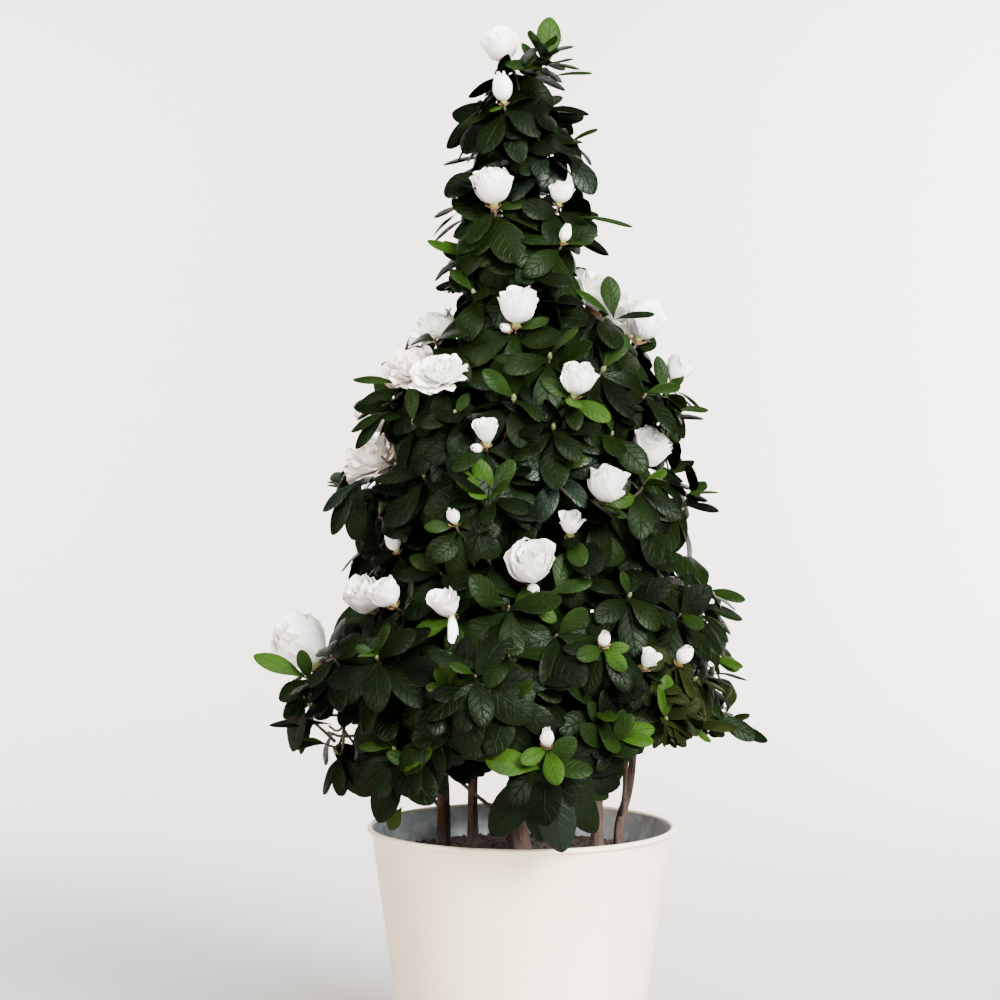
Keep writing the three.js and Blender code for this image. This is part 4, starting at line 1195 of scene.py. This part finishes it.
def twigs():
    """The stems of the masses, the twigs of the shoots, and the thin low branches."""
    heap = Heap()
    for mass in masses:
        line = np.linspace(mass.tip, mass.centre, MASS_STEM_RINGS)
        heap.add(*tube(line, np.linspace(MASS_STEM_RADIUS, TWIG_RADIUS, MASS_STEM_RINGS), BRANCH_SIDES))
    carrying = carrying_shoots()
    for shoot in shoots:
        if shoot in carrying:
            line = np.concatenate([shoot.curve, [shoot.tip]])
            thick = 1 if shoot.level == 0 else FINER_TWIG_SHARE
            heap.add(*tube(line, np.linspace(TWIG_RADIUS, TWIG_TIP_RADIUS, len(line)) * thick, TWIG_SIDES))
    for stem_name, start, mass_name in LOW_BRANCHES:
        end = mix(mass_named[mass_name].tip, mass_named[mass_name].centre, MASS_STEM_JOINTS[0])
        bends = (LOW_BRANCH_BEND_SHARE, LOW_BRANCH_BEND_RISE)
        line = branch_line(stem_name, start, end, *bends, LOW_BRANCH_STEPS)
        radii = np.linspace(LOW_BRANCH_RADIUS, LOW_BRANCH_TIP_RADIUS, LOW_BRANCH_STEPS)
        heap.add(*tube(line, radii, BRANCH_SIDES))
    return heap.piece("twigs", TWIG_BARK, "bark")


def bark_radii(line, radii, sides, item):
    """Radii round every ring of a limb: ridges that run along it and swellings where leaves once grew."""
    turns = np.linspace(0, 2 * math.pi, sides, endpoint=False)[None]
    lengths = np.concatenate([[0], np.cumsum(np.linalg.norm(np.diff(line, axis=0), axis=1))])[:, None]
    ridges = 0.035 * np.sin(5 * turns + 0.05 * lengths + item)
    ridges = ridges + 0.03 * np.sin(9 * turns - 0.11 * lengths + 2 * item)
    knots = 0.05 * np.clip(np.sin(lengths * 0.21 + 2.2 * item), 0.6, 1) - 0.03
    rough = 0.025 * np.sin(17 * turns + 0.6 * lengths) * np.sin(0.9 * lengths + 3 * turns + item)
    return radii[:, None] * (1 + ridges + knots + rough)


def stems_and_boughs():
    """The stems, flared at the foot, and the boughs, all with the relief of their bark."""
    heap = Heap()
    for item, stem in enumerate(STEMS, STEM_BARK):
        line = stem_line(stem, STEM_RINGS)
        share = np.linspace(0, 1, STEM_RINGS)
        length = np.linalg.norm(np.diff(line, axis=0), axis=1).sum()
        flared = np.clip(1 - share * length / FLARE_HEIGHT, 0, None) ** 2
        radii = mix(stem[3], STEM_TIP_RADIUS, share) * mix(1, FLARE, flared)
        heap.add(*tube(line, bark_radii(line, radii, STEM_SIDES, item), STEM_SIDES))
    for item, bough in enumerate(BOUGHS, BOUGH_BARK):
        line = bough_line(bough, BOUGH_RINGS)
        radii = np.linspace(BOUGH_RADIUS, BOUGH_TIP_RADIUS, BOUGH_RINGS)
        heap.add(*tube(line, bark_radii(line, radii, BOUGH_SIDES, item), BOUGH_SIDES))
    return heap.piece("stems_and_boughs", BARK, "bark")


twig_piece = twigs()
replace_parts(twig_piece, *foliage_nodes)
bark_piece = stems_and_boughs()
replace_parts(bark_piece, *[f"stem_{stem[0]}" for stem in STEMS], *[f"bough_to_{bough[0]}" for bough in BOUGHS])


# Blooms

PETAL_GRID = grid_faces(len(PETAL_ROWS), len(PETAL_COLUMNS))
PETAL_UVS = np.array([[(u + 1) / 2, v] for v in PETAL_ROWS for u in PETAL_COLUMNS])
# Whorls of petals from the outside in: petals, length and width as shares of the bloom's width, lean off the
# axis at the root and at the edge, the flare of the edge, and the ruffle of the edge as a share of the width
WHORLS = {
    "wide": [
        (6, 0.62, 0.66, 98, 58, 34, 0.050),
        (6, 0.62, 0.62, 90, 34, 36, 0.055),
        (6, 0.58, 0.54, 74, 14, 38, 0.060),
        (5, 0.54, 0.46, 54, 2, 34, 0.065),
        (4, 0.50, 0.36, 30, -4, 26, 0.070),
    ],
    "half": [
        (6, 0.88, 0.88, 92, -20, 40, 0.050),
        (6, 0.90, 0.80, 76, -22, 34, 0.055),
        (5, 0.89, 0.68, 56, -18, 30, 0.055),
        (4, 0.86, 0.54, 36, -12, 24, 0.055),
        (3, 0.82, 0.42, 18, -6, 20, 0.050),
    ],
    "opening": [
        (4, 1.02, 0.90, 56, 0, 42, 0.050),
        (4, 1.02, 0.76, 40, -2, 36, 0.055),
        (3, 1.00, 0.54, 24, -2, 26, 0.055),
    ],
    "bud": [
        (4, 1.20, 0.95, 80, -52, 22, 0.040),
        (3, 1.24, 0.70, 56, -40, 24, 0.050),
        (3, 1.15, 0.50, 36, -26, 20, 0.050),
    ],
}
# Items set apart for the petals of a bloom, the turn of each whorl, and how a petal may turn, lean and grow
PETALS_OF_BLOOM = 40
WHORL_TURN = 50
PETAL_TURN_SCATTER = 18
PETAL_LEAN_SCATTER = 14
PETAL_LENGTHS = (0.9, 1.06)
# A petal's rounded corners, its width at the foot, its twist, and the depth and half width of its groove
PETAL_ROUNDED = 0.32
PETAL_FOOT = 0.3
PETAL_TWIST = 0.045
PETAL_GROOVE = 0.03
PETAL_GROOVE_HALF = 0.2
# Petals of a wilted bloom that hang: turn from the front, length and width as shares of the bloom's width
HANGING_PETALS = [(8, 1.0, 0.42)]
HANGING_LEANS = (34, -8, 30)
HANGING_OUT = 0.3
# The stalk of a bloom, with a share of its width on top, and the height and size of its calyx
STALK = 2.5
STALK_SHARE = 0.09
CALYX_UP = 1.5
CALYX_SHARE = 0.6
LEAST_CALYX = 13
# Sepals, and the scales of the bud below them
SEPAL_COUNT, SEPAL_TURN, SEPAL_START = 5, 72, 20
SEPAL_LENGTH, SEPAL_WIDTH, SEPAL_LEANS = 0.42, 0.22, (46, 6, 0)
SCALE_COUNT, SCALE_TURN = 8, 52
SCALE_LENGTHS, SCALE_WIDTH, SCALE_LEANS = (0.26, 0.42), 0.2, (70, 34, 20)
SCALES_BELOW = 1.2
# Stamens and their anthers
STAMEN_COUNT = 6
STAMEN_LEAN = 0.3
STAMEN_LENGTHS = (0.76, 0.9)
STAMEN_RINGS = 6
STAMEN_RADIUS = 0.28
ANTHER_ROWS = [0, 0.9, 1.8]
ANTHER_RADII = [0.4, 0.75, 0.4]
# Side buds: their number is this times a draw. Then their widths, their tilt, and how far out they stand.
SIDE_BUD_LUCK = 1.6
SIDE_BUD_WIDTHS = (7, 11)
SIDE_BUD_LIFT = 0.45
SIDE_BUD_OUT = 5
SIDE_CALYX_OUT = 4
SIDE_CALYX = 9
# The resting bud of a shoot: its lengths, the share of shoots with one, and its outline beside its length
TIP_BUD_LENGTHS = (4, 7)
TIP_BUD_SHARE = 0.45
TIP_BUD_ROWS = [0, 0.2, 0.45, 0.7, 0.9]
TIP_BUD_SWELL = [0.2, 0.29, 0.31, 0.22, 0.1]
TIP_BUD_SIDES = 7


def petal(seat, axis, side, turn, length, wide, leans, ruffle, item):
    """A petal that wraps round an axis. leans are its lean at the root and at the edge, and its flare."""
    upright = np.cross(axis, side)
    root, edge, flare = leans
    steps = np.linspace(0, 1, PETAL_PROFILE_STEPS)
    lean = np.radians(mix(root, edge, steps**0.7) + flare * np.clip(3 * steps - 2, 0, 1))
    far = np.concatenate([[0], np.cumsum(np.sin(lean[:-1]))]) * length / (PETAL_PROFILE_STEPS - 1) + 1
    high = np.concatenate([[0], np.cumsum(np.cos(lean[:-1]))]) * length / (PETAL_PROFILE_STEPS - 1)
    v = PETAL_ROWS[:, None]
    u = PETAL_COLUMNS[None]
    place = v * (1 - PETAL_ROUNDED * np.abs(u) ** 2.5)
    out, rise, slope = (np.interp(place, steps, profile) for profile in (far, high, lean))
    half = wide / 2 * mix(PETAL_FOOT, 1, np.sin(np.clip(v * 1.3, 0, 1) * math.pi / 2))
    first, second = (6.3 * chance(item, "frill", k) for k in range(2))
    frill = ruffle * v**2.5 * (np.sin(3.6 * u + first) + 0.6 * np.sin(7.4 * u + second))
    frill = frill + PETAL_TWIST * wide * u * v
    frill = frill - PETAL_GROOVE * wide * np.exp(-((u / PETAL_GROOVE_HALF) ** 2)) * v
    rise = rise - frill * np.sin(slope)
    out = np.maximum(out + frill * np.cos(slope), 0.3)
    angle = math.radians(turn) + np.minimum(half / np.maximum(out, half * 0.5), 2.0) * u
    aside = out[..., None] * (np.cos(angle)[..., None] * side + np.sin(angle)[..., None] * upright)
    return (seat + rise[..., None] * axis + aside).reshape(-1, 3), PETAL_GRID, PETAL_UVS


petal_heap, faded_heap, sepal_heap, scale_heap, tip_bud_heap = Heap(), Heap(), Heap(), Heap(), Heap()


def grow_petals(heap, kind, seat, axis, size, item):
    """The whorls of one bloom, each turned on from the last, with its petals a little uneven."""
    side = unit(np.cross(axis, np.array([0.31, 0.17, 0.93])))
    own = item * PETALS_OF_BLOOM
    for ring, (count, length, wide, root, edge, flare, ruffle) in enumerate(WHORLS[kind]):
        for k in range(count):
            own += 1
            turn = (k + 0.5 * ring) * 360 / count + WHORL_TURN * ring
            turn += PETAL_TURN_SCATTER * scatter(own, "petal_turn")
            lean = PETAL_LEAN_SCATTER * scatter(own, "petal_lean") if kind != "bud" else 0
            long = size * length * between(*PETAL_LENGTHS, own, "petal_length")
            leans = (root, edge + lean, flare + lean)
            heap.add(*petal(seat, axis, side, turn, long, size * wide, leans, size * ruffle, own))
    return side


def grow_calyx(seat, axis, side, size, item):
    """Green sepals under the petals, and the orange-brown scales of the bud that they burst from."""
    for k in range(SEPAL_COUNT):
        turn, own = k * SEPAL_TURN + SEPAL_START, item * 3 + k
        long, wide = size * SEPAL_LENGTH, size * SEPAL_WIDTH
        sepal_heap.add(*petal(seat, axis, side, turn, long, wide, SEPAL_LEANS, 0.2, own))
    base = seat - axis * SCALES_BELOW
    for k in range(SCALE_COUNT):
        turn, own = k * SCALE_TURN, item * 5 + k
        long = size * between(*SCALE_LENGTHS, own, "petal_length")
        scale_heap.add(*petal(base, axis, side, turn, long, size * SCALE_WIDTH, SCALE_LEANS, 0.3, own))


def grow_stamens(seat, axis, side, size, item):
    """Thin filaments with brown anthers that stand out of the petals."""
    for k in range(STAMEN_COUNT):
        turn = k * 1.05 + 6.3 * chance(item, "stamen", k)
        lean = axis + STAMEN_LEAN * round_axis(axis, side, turn)
        end = seat + lean * size * between(*STAMEN_LENGTHS, item, "stamen", k)
        line = bent_line(seat, seat + axis * size * 0.5, end, STAMEN_RINGS)
        sepal_heap.add(*tube(line, np.full(STAMEN_RINGS, STAMEN_RADIUS), 4))
        head = np.array([end + unit(lean) * row for row in ANTHER_ROWS])
        scale_heap.add(*tube(head, ANTHER_RADII, 5))


def grow_hanging_petals(heap, seat, axis, size, item):
    """Limp petals that hang down from a wilted bloom."""
    front = unit(FRONT - axis * np.dot(FRONT, axis))
    for turn, long, wide in HANGING_PETALS:
        aside = round_axis(axis, front, math.radians(turn))
        down = unit(aside * HANGING_OUT - UP)
        root = seat + aside * size * 0.28 + axis * size * 0.2
        shape = (size * long, size * wide, HANGING_LEANS, size * 0.09)
        heap.add(*petal(root, down, unit(np.cross(down, FRONT)), 270 + turn, *shape, item + turn))


def grow_side_buds(shoot, axis, side, count):
    """Small closed buds beside a bloom."""
    for k in range(count):
        own = shoot.item * 7 + k
        aside = round_axis(axis, side, 2.4 * k + 6.3 * chance(shoot.item, "side_bud", 1))
        own_axis = unit(axis * SIDE_BUD_LIFT + aside)
        small = between(*SIDE_BUD_WIDTHS, shoot.item, "side_bud", 2 + k)
        own_side = grow_petals(petal_heap, "bud", shoot.tip + aside * SIDE_BUD_OUT, own_axis, small, own)
        grow_calyx(shoot.tip + aside * SIDE_CALYX_OUT, own_axis, own_side, SIDE_CALYX, own)


def kind_of(item, width):
    """How far open a bloom is."""
    if item in HALF_OPEN_ITEMS:
        return "half"
    if item in WILTED_ITEMS:
        return "opening"
    if width >= OPEN_FROM_WIDTH:
        return "wide"
    if width >= HALF_OPEN_FROM_WIDTH:
        return "half"
    return "opening" if width > CLOSED_UP_TO_WIDTH else "bud"


def grow_bloom(shoot):
    """A bloom with its calyx, and its stamens and side buds where they show."""
    axis, item = bloom_axis(shoot), shoot.item
    seat = shoot.tip + axis * (STALK + STALK_SHARE * shoot.bloom)
    size = shoot.bloom * BLOOM_SIZES.get(item, 1)
    heap = faded_heap if item in FADED_ITEMS else petal_heap
    side = grow_petals(heap, kind_of(item, shoot.bloom), seat, axis, size, item)
    grow_calyx(shoot.tip + axis * CALYX_UP, axis, side, max(size * CALYX_SHARE, LEAST_CALYX), item)
    if item in WILTED_ITEMS:
        grow_hanging_petals(heap, seat, axis, size, item)
    if item in STAMEN_ITEMS:
        grow_stamens(seat, axis, side, size, item)
    common = int(chance(item, "side_bud") * SIDE_BUD_LUCK) if size >= HALF_OPEN_FROM_WIDTH else 0
    grow_side_buds(shoot, axis, side, SIDE_BUDS.get(item, common))


def grow_tip_bud(shoot):
    """The small resting bud in the heart of a shoot without a bloom."""
    long = between(*TIP_BUD_LENGTHS, shoot.item, "tip_bud")
    base = shoot.tip - shoot.axis * HUB_HEIGHT
    line = np.array([base + shoot.axis * long * row for row in TIP_BUD_ROWS])
    tip_bud_heap.add(*tube(line, np.array(TIP_BUD_SWELL) * long, TIP_BUD_SIDES))


def blooms():
    """All blooms and resting buds, in a piece for every kind of petal and scale."""
    for shoot in shoots:
        if shoot.bloom:
            grow_bloom(shoot)
        elif shoot.level <= 1 and shoot.leaves > 2 and chance(shoot.item, "tip_bud", 1) < TIP_BUD_SHARE:
            grow_tip_bud(shoot)
    return petal_heap.pieces("petals", PETALS, "foliage") + [
        faded_heap.piece("petals_faded", FADED, "foliage"),
        sepal_heap.piece("sepals", SEPALS, "foliage"),
        scale_heap.piece("bud_scales", SCALES, "foliage"),
        tip_bud_heap.piece("tip_buds", TIP_BUDS, "foliage"),
    ]


bloom_pieces = blooms()
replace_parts(bloom_pieces[0], *foliage_nodes)


# Pot and soil

def turned(name, profile, sides, material):
    """A surface turned round the Z axis from a profile of [radius, height] points."""
    profile = np.array(profile, dtype=float)
    turns = np.linspace(0, 2 * math.pi, sides, endpoint=False)
    x = profile[:, :1] * np.cos(turns)
    y = profile[:, :1] * np.sin(turns)
    z = np.repeat(profile[:, 1:], sides, axis=1)
    points = np.stack([x, y, z], axis=-1).reshape(-1, 3)
    faces = grid_faces(len(profile), sides, closed=True).tolist()
    uvs = np.stack([np.tile(turns, len(profile)), z.ravel()], axis=1)
    return mesh_piece(name, points * MM, faces, uvs, material)


def wall_at(height):
    return mix(POT_BASE_RADIUS, POT_MOUTH_RADIUS, height / POT_HEIGHT)


def arc(out, up, radius, turns):
    """Points [out, up] of an arc round a centre, at turns in degrees: 0 is outwards and 90 up."""
    turns = [math.radians(turn) for turn in turns]
    return [(out + radius * math.cos(turn), up + radius * math.sin(turn)) for turn in turns]


def pot_piece():
    """The painted shell with its foot and rim bead, and the lining that goes down into the soil."""
    bead_height = POT_HEIGHT - RIM_BEAD_RADIUS
    bead_centre = wall_at(bead_height) + RIM_BEAD_RADIUS - POT_SHEET
    wall = np.linspace(POT_WALL_FROM, bead_height - RIM_BEAD_RADIUS - RIM_BEAD_SEAM, POT_WALL_RINGS)
    outside = [(POT_BASE_RADIUS - inwards, height) for inwards, height in POT_UNDERSIDE]
    outside += arc(POT_BASE_RADIUS - POT_FOOT_ROLL, POT_FOOT_ROLL, POT_FOOT_ROLL, range(-100, 1, 20))
    outside += [(wall_at(height), height) for height in wall]
    outside += arc(bead_centre, bead_height, RIM_BEAD_RADIUS, range(-110, 181, 14))
    turned("pot_shell", outside, POT_SIDES, painted_metal())
    lining = np.linspace(bead_height, SOIL_LEVEL - LINING_BELOW_SOIL, LINING_RINGS)
    inside = [(wall_at(height) - POT_SHEET, height) for height in lining]
    return turned("pot_lining", inside, POT_SIDES, zinc())


def soil_height(x, y):
    """Lumps of peat, lower towards the wall."""
    distance = math.hypot(x, y) / (POT_MOUTH_RADIUS - 4)
    lumps = 1.1 * math.sin(0.11 * x + 1.7) * math.sin(0.13 * y) + 0.7 * math.sin(0.31 * x - 0.2 * y)
    lumps += 0.5 * math.sin(0.7 * x + 0.4 * y + 2) * math.sin(0.62 * y - 0.3 * x)
    return SOIL_LEVEL - 0.6 + lumps - 4 * distance**6


def soil_piece():
    """The grainy top of the soil."""
    radii = np.linspace(0.5, wall_at(SOIL_LEVEL) - POT_SHEET - GAP, SOIL_RINGS)
    points, uvs = [], []
    for i, radius in enumerate(radii):
        for k in range(SOIL_SIDES):
            turn = 2 * math.pi * k / SOIL_SIDES
            x, y = radius * math.cos(turn), radius * math.sin(turn)
            points.append((x, y, soil_height(x, y) + SOIL_GRAIN * scatter(i * 211 + k, "soil_lump")))
            uvs.append((x, y))
    faces = grid_faces(SOIL_RINGS, SOIL_SIDES, closed=True).tolist()
    soil = mesh_piece("soil_surface", np.array(points) * MM, faces, np.array(uvs), PEAT)
    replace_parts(soil, "soil")


def crumbs():
    """Crumbs of peat: small eight-cornered lumps pressed into the surface."""
    heap = Heap()
    cube = np.array([[x, y, z] for x in (-1, 1) for y in (-1, 1) for z in (-1, 1)], dtype=float)
    faces = np.array([[0, 1, 3, 2], [4, 6, 7, 5], [0, 4, 5, 1], [2, 3, 7, 6], [0, 2, 6, 4], [1, 5, 7, 3]])
    for k in range(CRUMB_COUNT):
        radius = (wall_at(SOIL_LEVEL) - CRUMB_INSET) * math.sqrt(chance(k, "soil_radius"))
        turn = 2 * math.pi * chance(k, "soil_turn")
        x, y = radius * math.cos(turn), radius * math.sin(turn)
        size = mix(*CRUMB_SIZES, chance(k, "soil_size") ** 2)
        jitter = [[between(*CRUMB_CORNERS, k * 8 + c, "soil_corner", d) for d in range(3)] for c in range(8)]
        centre = np.array([x, y, soil_height(x, y) + size * 0.3])
        heap.add(centre + cube * np.array(jitter) * size, faces, np.zeros((8, 2)))
    heap.piece("soil_crumbs", PEAT, "soil")


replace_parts(pot_piece(), "pot")
soil_piece()
crumbs()


# Stage, light and camera

# Lights: name, place, aim, size, watts, colour and spread
LIGHTS = [
    ("key", (1.2, -1.85, 1.5), (0, 0, 0.42), (1.0, 1.0), 380, (1.0, 0.985, 0.96), 180),
    ("top", (0.2, -1.2, 2.3), (0, 0, 0.5), (1.0, 1.0), 90, (0.97, 0.98, 1.0), 180),
    ("fill", (-1.6, -0.7, 0.15), (0, 0, 0.15), (0.9, 0.5), 14, (1.0, 0.56, 0.20), 180),
    ("side", (-1.3, -1.2, 1.0), (0, 0, 0.68), (0.5, 0.5), 4, (1.0, 0.99, 0.97), 40),
    ("wall_left", (-1.6, 1.3, 1.2), (-0.5, 2.7, 0.9), (1.2, 1.0), 130, (1.0, 0.97, 0.93), 180),
    ("wall_right", (1.6, 1.3, 1.2), (0.5, 2.7, 0.9), (1.2, 1.0), 190, (1.0, 0.985, 0.97), 180),
]
SKY_COLOUR = rgb(1.0, 0.985, 0.965)
SKY_STRENGTH = 0.14
CAMERA_PLACE = (-0.0166, -1.62, 0.467)
CAMERA_LENS = 75
# The floor and the wall behind, in metres, with a curve between them
FLOOR_HALF, WALL_HALF = 3.2, 1.7
FLOOR_FRONT, WALL_PLACE, WALL_TOP = -3.2, 2.7, 3.0
CORNER = 1.3


def link(thing):
    bpy.context.scene.collection.objects.link(thing)


def sweep():
    """A wide pale floor that curves up into a wall well behind the plant."""
    f = Finish("sweep", Roughness=0.9)
    f.colour(f.blend(f.noise(0.7, 2.0), rgb(0.57, 0.55, 0.53), rgb(0.60, 0.58, 0.56)))
    bend = arc(WALL_PLACE - CORNER, CORNER, CORNER, range(-84, 1, 6))
    profile = [(FLOOR_FRONT, 0, FLOOR_HALF), (0, 0, FLOOR_HALF), (WALL_PLACE - CORNER, 0, WALL_HALF)]
    profile += [(y, z, WALL_HALF) for y, z in [*bend, (WALL_PLACE, WALL_TOP)]]
    points = [(x, y, z) for y, z, half in profile for x in (-half, half)]
    mesh = bpy.data.meshes.new("floor")
    mesh.from_pydata(points, [], grid_faces(len(profile), 2).tolist())
    mesh.shade_smooth()
    mesh.materials.append(f.material)
    floor = bpy.data.objects.new("floor", mesh)
    link(floor)


def area_light(name, place, aim, size, watts, colour, spread):
    data = bpy.data.lights.new(name, "AREA")
    data.shape = "RECTANGLE"
    data.size, data.size_y = size
    data.energy = watts
    data.color = colour
    data.spread = math.radians(spread)
    light = bpy.data.objects.new(name, data)
    light.location = place
    light.rotation_euler = (Vector(aim) - Vector(place)).to_track_quat("-Z", "Y").to_euler()
    link(light)


def sky():
    """A faint light from all round."""
    world = bpy.data.worlds.new("studio")
    world.use_nodes = True
    inputs = world.node_tree.nodes["Background"].inputs
    inputs["Color"].default_value = SKY_COLOUR
    inputs["Strength"].default_value = SKY_STRENGTH
    bpy.context.scene.world = world


def camera():
    data = bpy.data.cameras.new("camera")
    data.sensor_width = 36
    data.lens = CAMERA_LENS
    eye = bpy.data.objects.new("camera", data)
    eye.location = CAMERA_PLACE
    eye.rotation_euler = (math.pi / 2, 0, 0)
    link(eye)
    bpy.context.scene.camera = eye


sweep()
for light in LIGHTS:
    area_light(*light)
sky()
camera()
